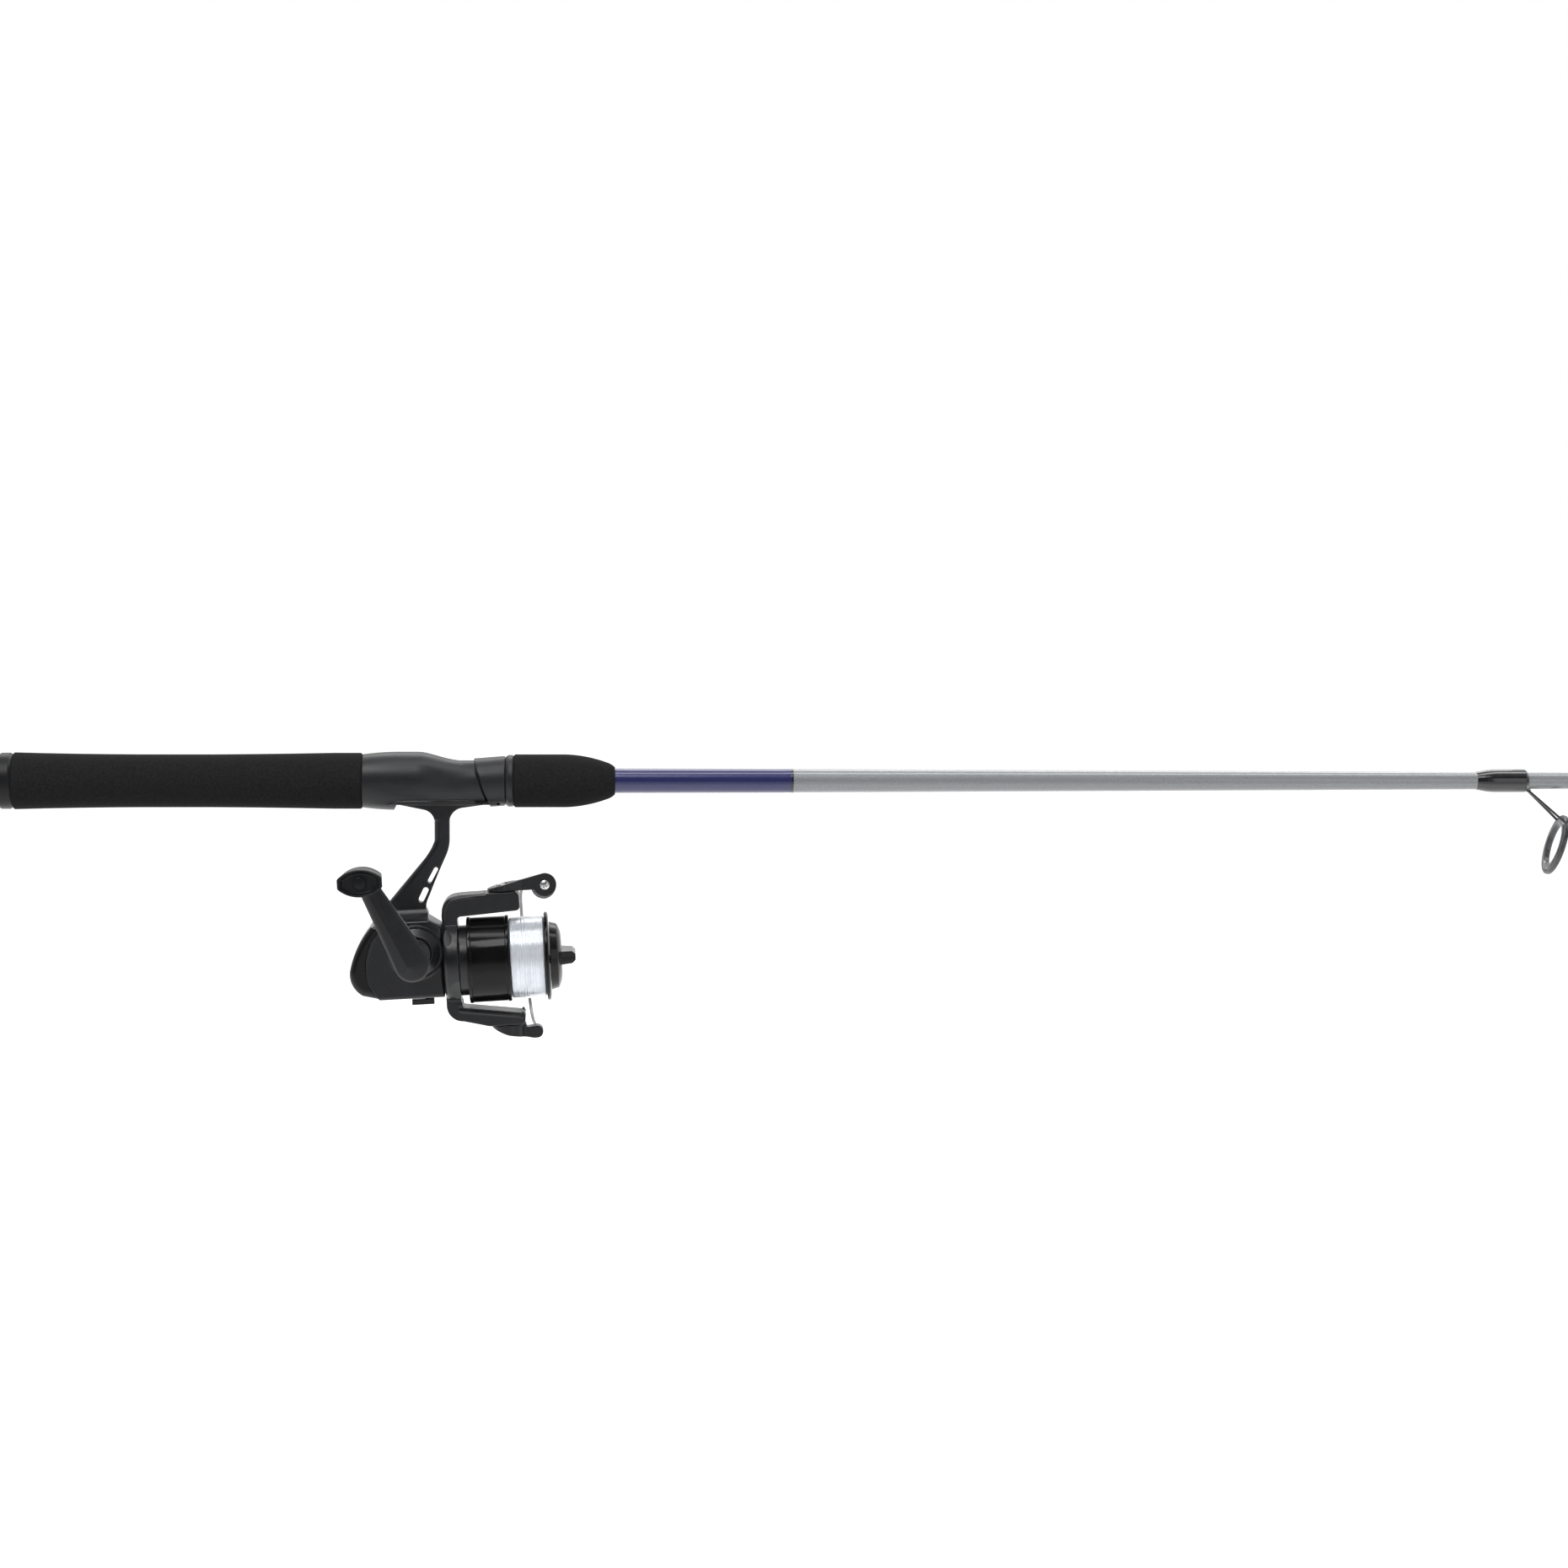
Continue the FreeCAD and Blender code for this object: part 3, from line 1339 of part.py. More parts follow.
def arm_outline(side):
    """The side view of one rotor arm, from the axis outwards; side is 1 above and -1 below."""
    low = "low_" if side < 0 else ""
    back = number("rotor_back")
    front = number("arm_front")
    inner = number("arm_inner")
    mouth = inner + number(f"{low}arm_flare")
    root = number("low_arm_root" if low else "arm_outer")
    outer = number("low_arm_outer" if low else "arm_outer + arm_rise")
    corner = number("arm_corner")
    bend = corner * (1 - math.sqrt(0.5))
    nose = number("arm_nose")
    turn = nose * (1 - math.sqrt(0.5))
    disc = number("rotor_disc_front")
    points = [(back, 0), (back, root - corner, back + bend, root - bend), (back + corner, root),
              (number("low_arm_ramp"), outer), (front - nose, outer, front - turn, outer - turn),
              (front, outer - nose), (front, mouth + 1.6, front - 0.6, mouth + 0.5), (front - 2, mouth),
              (disc + 1.5, inner, disc + 0.4, inner - 0.5), (disc, inner - 1.8), (disc, 0)]
    return [tuple(value * side if index % 2 else value for index, value in enumerate(point))
            for point in points]


def make_rotor():
    gap = number("glue_gap")
    half = number("arm_half_width")
    back = number("rotor_back")
    disc = number("rotor_disc_front")
    frame = rod_x(number("rotor_disc_radius"), back, disc)
    rim = [edge for edge in frame.Edges if abs(edge.CenterOfMass.x - back) < 0.01]
    frame = frame.makeFillet(2.5, rim)
    for side in (1, -1):
        frame = frame.fuse(slab(arm_outline(side), -half, half))
    drum = number("rotor_drum_radius")
    front = number("rotor_drum_front")
    frame = frame.fuse(rod_x(drum, disc - 0.5, front)).removeSplitter()
    frame = frame.cut(rod_x(drum - number("rotor_drum_wall"), disc, front + 1))
    frame = frame.cut(rod_x(number("pinion_thread_radius") + gap, back - 1, disc + 1))
    screw = number("bail_screw_radius") + gap
    for side in (1, -1):
        frame = frame.cut(pivot_rod(side, screw, pivot_seat(side) - 6, pivot_seat(side) + 4))
    frame = frame.cut(spring_room()).cut(arm_cover_plate(gap))
    on_reel(shaped("rotor", frame))


def pivot_seat(side):
    """How far from the axis the outside of an arm lies at the bail's pivot."""
    return number("arm_outer + arm_rise") if side > 0 else number("low_arm_outer")


def pivot_rod(side, radius, start, end):
    """A cylinder on the bail's pivot between two distances from the axis."""
    low, high = (start, end) if side > 0 else (-end, -start)
    return rod_z(radius, low, high, number("bail_pivot"))


def spring_room():
    outer = number("arm_outer")
    middle = number("arm_cover_back + arm_cover_front") / 2
    return block((middle - 5, middle + 5), (-3.2, 3.2), (outer - 7.2, outer + 2))


def arm_cover_plate(grow):
    """The plate over the spring, let into the outside of the upper arm."""
    outer = number("arm_outer")
    half = number("arm_half_width - arm_cover_inset")
    back = number("arm_cover_back") - grow
    front = number("arm_cover_front") + grow
    return block((back, front), (-half - grow, half + grow),
                 (outer - number("arm_cover_thickness") - grow, outer + 3))


def coil(radius, wire, start, length, turns, height=0):
    """A helical spring along X, its axis at a height."""
    path = Part.makeHelix(length / turns, length, radius)
    section = Part.Wire(Part.makeCircle(wire, vector(radius, 0, 0), vector(0, 1, 0)))
    spring = Part.Wire(path).makePipeShell([section], True, True)
    spring.Placement = FreeCAD.Placement(vector(start, 0, height), FreeCAD.Rotation(vector(0, 1, 0), 90))
    return Part.makeCompound([spring])


def make_rotor_fittings():
    across = number("pinion_thread_radius") + 2.6
    hexagon = [vector(number("rotor_disc_front") + 0.02, across * math.cos(math.pi * index / 3),
                      across * math.sin(math.pi * index / 3)) for index in range(6)]
    nut = Part.Face(Part.makePolygon(hexagon + hexagon[:1])).extrude(vector(2.6, 0, 0))
    nut = nut.cut(rod_x(number("pinion_thread_radius + glue_gap"), 10, 30))
    on_reel(shaped("rotor_nut", nut))
    plate = arm_cover_plate(0)
    plate = plate.common(slab(arm_outline(1), -20, 20))
    on_reel(shaped("rotor_arm_cover", plate))
    wire = number("spring_wire") / 2
    room = spring_room().BoundBox
    spring = coil(2.5, wire, room.XMin + 0.6, room.XLength - 1.2, 7, room.ZMin + 3.0)
    on_reel(shaped("bail_spring", spring))
    screws = []
    for side in (1, -1):
        seat = pivot_seat(side)
        floor = seat + number("lever_gap + lever_floor")
        screw = pivot_rod(side, number("bail_screw_radius"), seat - 5.5, floor + 0.2)
        top = floor + 0.05 + number("pivot_head_height")
        head = pivot_rod(side, number("bail_screw_head"), floor + 0.05, top)
        screws.append(screw.fuse(head).removeSplitter())
    on_reel(shaped("bail_pivot_screws", Part.makeCompound(screws)))


def with_pivot_hole(shape, side):
    """Bore a swinging piece for its screw and sink the screw's head."""
    base = pivot_seat(side) + number("lever_gap")
    shape = shape.cut(pivot_rod(side, number("bail_screw_radius + running_gap"), base - 1, base + 12))
    floor = base + number("lever_floor")
    return shape.cut(pivot_rod(side, number("pivot_recess_radius"), floor, base + 12))


def roller_place():
    return number("bail_pivot + lever_reach"), number("roller_axis_height")


def lever_face():
    """How far along Y the lever's plate ends and the roller's room begins."""
    return -number("roller_length") / 4 - 0.2


def make_bail_lever():
    """A wedge that rises from the pivot's disc to the round end over the roller."""
    pivot = number("bail_pivot")
    base = pivot_seat(1) + number("lever_gap")
    disc = number("lever_disc_radius")
    back = pivot - disc
    edge = base + number("lever_edge")
    end, axis = roller_place()
    radius = number("lever_end_radius")
    rise = math.atan2(axis - edge, end - back) + math.asin(radius / math.hypot(end - back, axis - edge))
    meet = math.sqrt(radius ** 2 - (axis - base) ** 2)
    half_turn = radius * math.sqrt(0.5)
    side_view = slab([(back, base), (end - meet, base, end, axis - radius),
                      (end + radius, axis, end + half_turn, axis + half_turn),
                      (end - radius * math.sin(rise), axis + radius * math.cos(rise)), (back, edge)],
                     -disc, disc)
    face = lever_face()
    plate = face - number("lever_plate")
    low = axis - radius
    high = axis + radius
    narrow = pivot + disc + 3
    far = end + radius
    bar = plan_slab([(pivot, -disc + 0.1), (narrow, plate), (far, plate), (far, face), (narrow, face),
                     (pivot, disc - 0.1)], low, high)
    lever = rod_z(disc, low, high, pivot).fuse(bar).common(side_view)
    lever = lever.cut(rod_y(number("roller_screw_radius + glue_gap"), -20, 20, end, axis))
    on_reel(shaped("bail_lever", with_pivot_hole(lever, 1).removeSplitter()))


def make_bail_holder():
    """The lower arm of the bail: a tongue with a round tip that grips the wire's foot."""
    pivot = number("bail_pivot")
    base = -pivot_seat(-1) - number("lever_gap")
    disc = number("holder_disc_radius")
    deep = base - number("holder_depth")
    tip = pivot + number("holder_tip")
    radius = number("holder_tip_radius")
    bend = radius * math.sqrt(0.5)
    back = pivot - disc
    front = number("arm_front")
    top = deep + 2 * radius
    middle = tip - radius
    side_view = slab([(back, base), (back, base - number("holder_edge"), pivot - disc / 2, base - 3),
                      (pivot, base - 4.7), (middle - 1.5, deep),
                      (middle, deep, middle + bend, deep + radius - bend),
                      (tip, deep + radius, middle + bend, deep + radius + bend), (middle, top),
                      (front + 0.3, top - 0.5), (front, base)], -disc, disc)
    half = number("holder_half_width")
    side = number("wire_side")
    plan = plan_slab([(pivot, 0.1 - disc), (front, -half), (tip, -half), (tip, side), (front, side),
                      (pivot, disc - 0.1)], deep, base)
    holder = rod_z(disc, deep, base, pivot).fuse(plan).common(side_view)
    foot, along = wire_foot()
    inside = foot - along * number("wire_socket + glue_gap")
    socket = Part.makeCylinder(number("wire_radius + glue_gap"), 10, inside, along)
    on_reel(shaped("bail_holder", with_pivot_hole(holder.cut(socket), -1).removeSplitter()))


def make_roller():
    end, axis = roller_place()
    start = lever_face() + 0.2
    length = number("roller_length")
    barrel = number("roller_radius")
    wheel = rod_y(barrel, start, start + length, end, axis)
    groove = Part.makeTorus(barrel + 2.2, 2.9, vector(end, start + length / 2, axis), vector(0, 1, 0))
    wheel = wheel.cut(groove).cut(rod_y(number("roller_screw_radius + running_gap"), -20, 20, end, axis))
    on_reel(shaped("line_roller", wheel))
    outside = lever_face() - number("lever_plate")
    cone_start = start + length + 0.2
    screw = rod_y(number("roller_screw_radius"), outside - 0.2, cone_start + 2, end, axis)
    head = rod_y(number("roller_screw_head"), outside - 1.1, outside - 0.02, end, axis)
    for turn in (20, 110):
        bar = block((-1.4, 1.4), (outside - 2, outside - 0.6), (-0.25, 0.25))
        bar.Placement = FreeCAD.Placement(vector(end, 0, axis), FreeCAD.Rotation(vector(0, 1, 0), turn))
        head = head.cut(bar)
    on_reel(shaped("roller_screw", screw.fuse(head).removeSplitter()))
    on_reel(shaped("bail_wire", bail_wire(cone_start)))


def wire_foot():
    """The point where the wire leaves the lower holder, and its direction there."""
    foot = vector(number("bail_pivot + wire_foot"), number("wire_side"), -number("wire_bow"))
    return foot, vector(-0.06, 1, 0).normalize()


def bail_wire(cone_start):
    """The wire from the roller's cone round the far side of the spool to the lower holder."""
    end, axis = roller_place()
    foot, along = wire_foot()
    bow = number("wire_bow")
    centre = number("wire_centre")
    wire = number("wire_radius")
    path = [foot]
    for angle, shift in WIRE_SHIFTS:
        turn = math.radians(angle)
        path.append(vector(foot.x + shift, centre + bow * math.cos(turn), bow * math.sin(turn)))
    path.append(vector(end - 0.4, cone_start + 2.2, axis))
    curve = Part.BSplineCurve()
    curve.interpolate(path, InitialTangent=along * bow, FinalTangent=vector(0.5, -0.85, 0) * bow)
    section = Part.Wire(Part.makeCircle(wire, foot, along))
    loop = Part.Wire(curve.toShape()).makePipeShell([section], True, False)
    root = Part.makeCylinder(wire, number("wire_socket"), foot - along * number("wire_socket"), along)
    broad = number("lever_end_radius") - 1
    cone = Part.makeCone(broad, 2.0, 3.4, vector(end, cone_start, axis), vector(0, 1, 0))
    hole = rod_y(number("roller_screw_radius + glue_gap"), -20, cone_start + 2.2, end, axis)
    return loop.fuse(root).fuse(cone).removeSplitter().cut(hole)


def make_bail():
    make_bail_lever()
    make_bail_holder()
    make_roller()


# Spool and drag

def make_spool():
    gap = "main_shaft_radius + running_gap"
    pit = "flange_front - drag_pit_depth"
    inside = "skirt_front - spool_web"
    spool = turned("spool", [
        ("skirt_back", "skirt_radius"), ("skirt_front", "skirt_radius"),
        ("skirt_front", "arbor_radius"), ("flange_back", "arbor_radius"),
        ("flange_back", "flange_radius"), ("flange_front", "flange_radius"),
        ("flange_front", "drag_pit_radius"), (pit, "drag_pit_radius"),
        (pit, gap), (inside, gap),
        (inside, "skirt_radius - skirt_wall"), ("skirt_back", "skirt_radius - skirt_wall"),
    ])
    on_reel(spool)
    line = turned("line_winding", [
        ("skirt_front + glue_gap", "arbor_radius + glue_gap"),
        ("skirt_front + glue_gap", "line_radius"),
        ("flange_back - glue_gap", "line_radius"),
        ("flange_back - glue_gap", "arbor_radius + glue_gap"),
    ])
    on_reel(line)


def make_drag():
    start = number("flange_front - drag_pit_depth")
    thick = number("washer_thickness")
    bore = number("main_shaft_radius + running_gap")
    washers = []
    for index in range(int(number("washer_count"))):
        place = start + 0.02 + index * (thick + 0.02)
        washer = rod_x(number("drag_pit_radius") - 0.2, place, place + thick)
        washers.append(washer.cut(rod_x(bore, place - 1, place + 2)))
    on_reel(shaped("drag_washers", Part.makeCompound(washers)))
    knob_back = number("flange_front + part_gap")
    room = number("spring_radius + spring_wire") + 0.3
    face = number("drag_cap_front")
    spring_start = washers[-1].BoundBox.XMax + number("part_gap") + number("spring_wire") / 2
    spring_end = face - 1.5 - number("part_gap") - number("spring_wire")
    spring = coil(number("spring_radius"), number("spring_wire"), spring_start,
                  spring_end - spring_start, number("spring_turns"))
    on_reel(shaped("drag_spring", spring))
    radius = number("drag_cap_radius")
    shoulder = radius - number("drag_cap_fall")
    flat = number("drag_cap_flat")
    edge = knob_back + number("drag_cap_shoulder")
    cap = turned_shape([(knob_back, 0), (knob_back, radius),
                        (edge, shoulder, edge + (face - edge) * 0.75, shoulder - (shoulder - flat) * 0.4),
                        (face, flat), (face, 0)])
    high = number("drag_bar_height") / 2
    front = number("drag_bar_front")
    nose = number("drag_bar_nose")
    reach = number("drag_bar_reach")
    bar = slab([(edge, -high), (front - nose, -high + 0.3), (front, -high * 0.45), (front, high * 0.45),
                (front - nose, high - 0.3), (edge, high)], -reach, reach)
    outside = Part.makeCone(reach, reach * 0.75, front - edge, vector(edge, 0, 0), vector(1, 0, 0))
    knob = cap.fuse(bar.common(outside))
    knob = knob.cut(rod_x(room, knob_back - 1, face - 1.5))
    bore = number("main_shaft_radius + running_gap")
    knob = knob.cut(rod_x(bore, knob_back, number("main_shaft_front") + 0.3))
    on_reel(shaped("drag_knob", knob.removeSplitter()))


def make_reel():
    make_reel_body()
    make_side_cover()
    make_rear_cover()
    make_body_screws()
    make_bushes()
    make_anti_reverse_lever()
    make_drive_gear()
    make_oscillation_gear()
    make_pinion()
    make_shafts()
    make_handle()
    make_rotor()
    make_rotor_fittings()
    make_bail()
    make_spool()
    make_drag()


make_rod()
make_reel()


def export_pieces():
    """Check every object and piece, then write each piece to its file."""
    doc.recompute()
    for item in doc.Objects:
        if "Invalid" in item.State or "Error" in item.State:
            raise RuntimeError(f"{item.Label} failed: {item.State}")
    for piece in PIECES:
        if piece.Shape.isNull() or not piece.Shape.isValid():
            raise RuntimeError(f"{piece.Label} has no valid shape")
    os.makedirs("parts", exist_ok=True)
    for piece in PIECES:
        piece.Shape.exportStep(f"parts/{piece.Label}.step")
        print(piece.Label, len(piece.Shape.Solids), round(piece.Shape.Volume, 2))


export_pieces()
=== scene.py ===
import bmesh
import bpy
import json
import math
import random
from mathutils import Matrix, Vector
from mathutils.bvhtree import BVHTree


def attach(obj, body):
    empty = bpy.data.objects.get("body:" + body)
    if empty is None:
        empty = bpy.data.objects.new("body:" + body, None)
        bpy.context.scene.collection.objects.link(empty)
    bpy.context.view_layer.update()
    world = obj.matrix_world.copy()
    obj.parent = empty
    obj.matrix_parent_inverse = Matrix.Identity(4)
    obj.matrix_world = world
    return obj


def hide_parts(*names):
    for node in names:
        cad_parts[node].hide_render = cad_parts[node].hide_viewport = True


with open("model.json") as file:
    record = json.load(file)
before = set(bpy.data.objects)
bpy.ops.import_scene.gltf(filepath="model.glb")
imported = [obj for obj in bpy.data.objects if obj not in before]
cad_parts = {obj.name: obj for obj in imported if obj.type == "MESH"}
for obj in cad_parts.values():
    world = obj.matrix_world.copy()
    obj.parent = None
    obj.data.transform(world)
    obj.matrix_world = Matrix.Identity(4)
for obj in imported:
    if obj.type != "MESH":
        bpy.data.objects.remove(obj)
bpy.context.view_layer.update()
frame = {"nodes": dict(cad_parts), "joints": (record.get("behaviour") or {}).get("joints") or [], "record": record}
nodes = frame["nodes"]
joints = {joint["name"]: joint for joint in frame["joints"]}
slotOf = {part["node"]: part["material_slot"] for part in frame["record"]["subparts"]}
bodyOf = {name: body for body, names in frame["record"]["behaviour"]["bodies"].items()
          for name in names}
print("frame loaded:", len(nodes), "nodes")

# Lengths are in millimetres as far as the studio, and mm turns them into metres. The reel has
# its own frame: x along the spool's axis, z up the stem, y away from the handle.

mm = 0.001
crankRise = 6.4  # the crank's axis above the spool's
spoolAxis = Vector(joints["rotor_spin"]["axis"]).normalized()
reelUp = Vector((-spoolAxis.z, 0, spoolAxis.x))
reelOrigin = Vector(joints["crank_turn"]["pos_m"]) - reelUp * crankRise * mm
reelFrame = Matrix((
    (spoolAxis.x, 0, reelUp.x, reelOrigin.x),
    (0, 1, 0, 0),
    (spoolAxis.z, 0, reelUp.z, reelOrigin.z),
    (0, 0, 0, 1),
))
toReel = reelFrame.inverted()
rodFrame = Matrix.Identity(4)

# The finishes: dark and light are the two ends of a mottled colour, patch is the width of its
# patches, rough is the range of roughness, grain lists the width and depth of each relief, and
# threads are turns of thread by their pitch and depth.

finishLooks = {
    "eva_foam": dict(
        dark=(0.009, 0.009, 0.0095), light=(0.017, 0.017, 0.018), patch=1.1,
        rough=(0.86, 0.96), grain=[(0.45, 0.05), (1.6, 0.06)],
        sockets={"Specular IOR Level": 0.12}),
    "seat_plastic": dict(
        dark=(0.012, 0.0125, 0.0145), light=(0.016, 0.017, 0.0195), patch=9.0,
        rough=(0.36, 0.42), grain=[(0.35, 0.008)],
        sockets={"Specular IOR Level": 0.3}),
    "guide_metal": dict(
        dark=(0.06, 0.06, 0.065), light=(0.1, 0.1, 0.105), patch=3.0,
        rough=(0.28, 0.4), grain=[(0.3, 0.004)],
        sockets={"Metallic": 0.8}),
    "guide_ceramic": dict(
        dark=(0.05, 0.052, 0.056), light=(0.075, 0.078, 0.082), patch=4.0,
        rough=(0.1, 0.16), grain=[(1.2, 0.004)]),
    "reel_charcoal": dict(
        dark=(0.0085, 0.009, 0.0105), light=(0.012, 0.0125, 0.015), patch=7.0,
        rough=(0.27, 0.35), grain=[(0.4, 0.01), (2.5, 0.012)],
        sockets={"Specular IOR Level": 0.38}),
    "reel_black": dict(
        dark=(0.006, 0.006, 0.0065), light=(0.009, 0.009, 0.0095), patch=8.0,
        rough=(0.16, 0.22), grain=[(2.0, 0.006)],
        sockets={"Specular IOR Level": 0.25}),
    "spool_black": dict(
        dark=(0.004, 0.004, 0.0045), light=(0.006, 0.006, 0.0065), patch=8.0,
        rough=(0.1, 0.15), grain=[(3.0, 0.004)],
        sockets={"Specular IOR Level": 0.18}),
    "knob_plastic": dict(
        dark=(0.0065, 0.007, 0.008), light=(0.0095, 0.01, 0.0115), patch=5.0,
        rough=(0.32, 0.4), grain=[(0.5, 0.008)],
        sockets={"Specular IOR Level": 0.2}),
    "line_nylon": dict(
        dark=(0.68, 0.72, 0.78), light=(0.78, 0.81, 0.85), patch=3.0,
        rough=(0.16, 0.22), grain=[(0.6, 0.012)],
        sockets={"Metallic": 0.42, "Coat Weight": 0.8, "Coat Roughness": 0.1}),
    "screwSteel": dict(
        dark=(0.5, 0.5, 0.505), light=(0.62, 0.62, 0.625), patch=2.0,
        rough=(0.26, 0.34), grain=[(0.3, 0.003)],
        sockets={"Metallic": 1.0}),
    "capBlack": dict(
        dark=(0.006, 0.0065, 0.0075), light=(0.009, 0.0095, 0.011), patch=6.0,
        rough=(0.36, 0.42), grain=[(0.4, 0.008)],
        sockets={"Specular IOR Level": 0.2}),
    "capSteel": dict(
        dark=(0.2, 0.2, 0.205), light=(0.3, 0.3, 0.305), patch=2.0,
        rough=(0.2, 0.3), grain=[(0.3, 0.003)],
        sockets={"Metallic": 1.0}),
    "wireSteel": dict(
        dark=(0.14, 0.14, 0.145), light=(0.2, 0.2, 0.205), patch=2.0,
        rough=(0.25, 0.35), grain=[(0.3, 0.003)],
        sockets={"Metallic": 1.0}),
    "steel": dict(
        dark=(0.42, 0.42, 0.43), light=(0.55, 0.55, 0.56), patch=2.0,
        rough=(0.22, 0.34), grain=[(0.25, 0.003)],
        sockets={"Metallic": 1.0}),
    "chrome": dict(
        dark=(0.66, 0.66, 0.67), light=(0.78, 0.78, 0.79), patch=3.0,
        rough=(0.08, 0.14), grain=[(0.6, 0.002)],
        sockets={"Metallic": 1.0}),
    "brass": dict(
        dark=(0.45, 0.32, 0.11), light=(0.6, 0.44, 0.18), patch=2.0,
        rough=(0.25, 0.36), grain=[(0.3, 0.003)],
        sockets={"Metallic": 1.0}),
    "zinc": dict(
        dark=(0.3, 0.31, 0.33), light=(0.42, 0.43, 0.45), patch=2.0,
        rough=(0.35, 0.5), grain=[(0.35, 0.008)],
        sockets={"Metallic": 1.0}),
    "felt": dict(
        dark=(0.1, 0.09, 0.08), light=(0.2, 0.18, 0.16), patch=0.6,
        rough=(0.85, 0.95), grain=[(0.3, 0.06)]),
    "wrap_black": dict(
        dark=(0.008, 0.008, 0.01), light=(0.014, 0.014, 0.017), patch=3.0,
        rough=(0.08, 0.14), grain=[(1.5, 0.01)], threads=(0.5, 0.02),
        sockets={"Specular IOR Level": 0.35, "Coat Weight": 0.8, "Coat Roughness": 0.05}),
}
# the nodes whose look differs from the rest of their slot
ownFinish = {"bail_wire": "wireSteel", "roller_screw": "screwSteel", "body_screws": "screwSteel",
             "butt_cap": "capBlack"}


def startFinish(name):
    finish = bpy.data.materials.new(name)
    finish.use_nodes = True
    return finish, finish.node_tree, finish.node_tree.nodes["Principled BSDF"]


def addNode(tree, kind, **values):
    node = tree.nodes.new(kind)
    for name, value in values.items():
        if name.startswith("in_"):
            node.inputs[name[3:].replace("_", " ")].default_value = value
        else:
            setattr(node, name, value)
    return node


def objectPoint(tree):
    return addNode(tree, "ShaderNodeTexCoord").outputs["Object"]


def axisOf(tree, point, axis):
    split = addNode(tree, "ShaderNodeSeparateXYZ")
    tree.links.new(point, split.inputs["Vector"])
    return split.outputs[axis]


def noiseAt(tree, size, detail, point):
    noise = addNode(tree, "ShaderNodeTexNoise", in_Scale=1 / (size * mm), in_Detail=detail)
    tree.links.new(point, noise.inputs["Vector"])
    return noise.outputs["Fac"]


noiseLow, noiseHigh = 0.3, 0.7  # a noise keeps nearly all its values between these
mottleDetail, grainDetail = 4.0, 2.0


def ramped(tree, source, low, high):
    ramp = addNode(tree, "ShaderNodeValToRGB")
    for element, place, colour in zip(ramp.color_ramp.elements, (noiseLow, noiseHigh), (low, high)):
        element.position = place
        element.color = (*colour, 1)
    tree.links.new(source, ramp.inputs["Fac"])
    return ramp.outputs["Color"]


def ranged(tree, source, fromLow, fromHigh, toLow, toHigh, kind="LINEAR"):
    spread = addNode(tree, "ShaderNodeMapRange", interpolation_type=kind, in_From_Min=fromLow,
                     in_From_Max=fromHigh, in_To_Min=toLow, in_To_Max=toHigh)
    tree.links.new(source, spread.inputs["Value"])
    return spread.outputs["Result"]


def mathStep(tree, operation, first, second, clamp=False):
    # a step of arithmetic, whose second input is a node's output or a number
    step = addNode(tree, "ShaderNodeMath", operation=operation, use_clamp=clamp)
    tree.links.new(first, step.inputs[0])
    if isinstance(second, float):
        step.inputs[1].default_value = second
    else:
        tree.links.new(second, step.inputs[1])
    return step.outputs["Value"]


def bumped(tree, height, depth, below=None):
    bump = addNode(tree, "ShaderNodeBump", in_Strength=1.0, in_Distance=depth * mm)
    tree.links.new(height, bump.inputs["Height"])
    if below:
        tree.links.new(below, bump.inputs["Normal"])
    return bump.outputs["Normal"]


def threadsAt(tree, pitch, point):
    # turns of thread along X, since the wave texture repeats every tenth of pi over its scale
    wave = addNode(tree, "ShaderNodeTexWave", bands_direction="X",
                   in_Scale=math.pi / (10 * pitch * mm))
    tree.links.new(point, wave.inputs["Vector"])
    return wave.outputs["Fac"]


def mouldedFinish(name, look):
    finish, tree, shader = startFinish(name)
    point = objectPoint(tree)
    mottle = noiseAt(tree, look["patch"], mottleDetail, point)
    tree.links.new(ramped(tree, mottle, look["dark"], look["light"]), shader.inputs["Base Color"])
    tree.links.new(ranged(tree, mottle, noiseLow, noiseHigh, *look["rough"]),
                   shader.inputs["Roughness"])
    normal = None
    for size, depth in look["grain"]:
        normal = bumped(tree, noiseAt(tree, size, grainDetail, point), depth, normal)
    if "threads" in look:
        pitch, depth = look["threads"]
        normal = bumped(tree, threadsAt(tree, pitch, point), depth, normal)
    tree.links.new(normal, shader.inputs["Normal"])
    for socket, value in look.get("sockets", {}).items():
        shader.inputs[socket].default_value = value
    return finish


# The blank is lacquered, and its lower end has a coloured band.

blankLook = {
    "bandEnd": 382.2, "flake": 0.5, "patch": 6.0, "patchDetail": 3.0, "rough": (0.36, 0.42),
    "grain": (2.5, 0.004),
    "violetDark": (0.016, 0.018, 0.085), "violetLight": (0.024, 0.025, 0.12),
    "greyDark": (0.21, 0.22, 0.23), "greyLight": (0.27, 0.28, 0.29),
    "sockets": {"Metallic": 0.2, "Specular IOR Level": 0.15, "Coat Weight": 1.0,
                "Coat Roughness": 0.16},
}


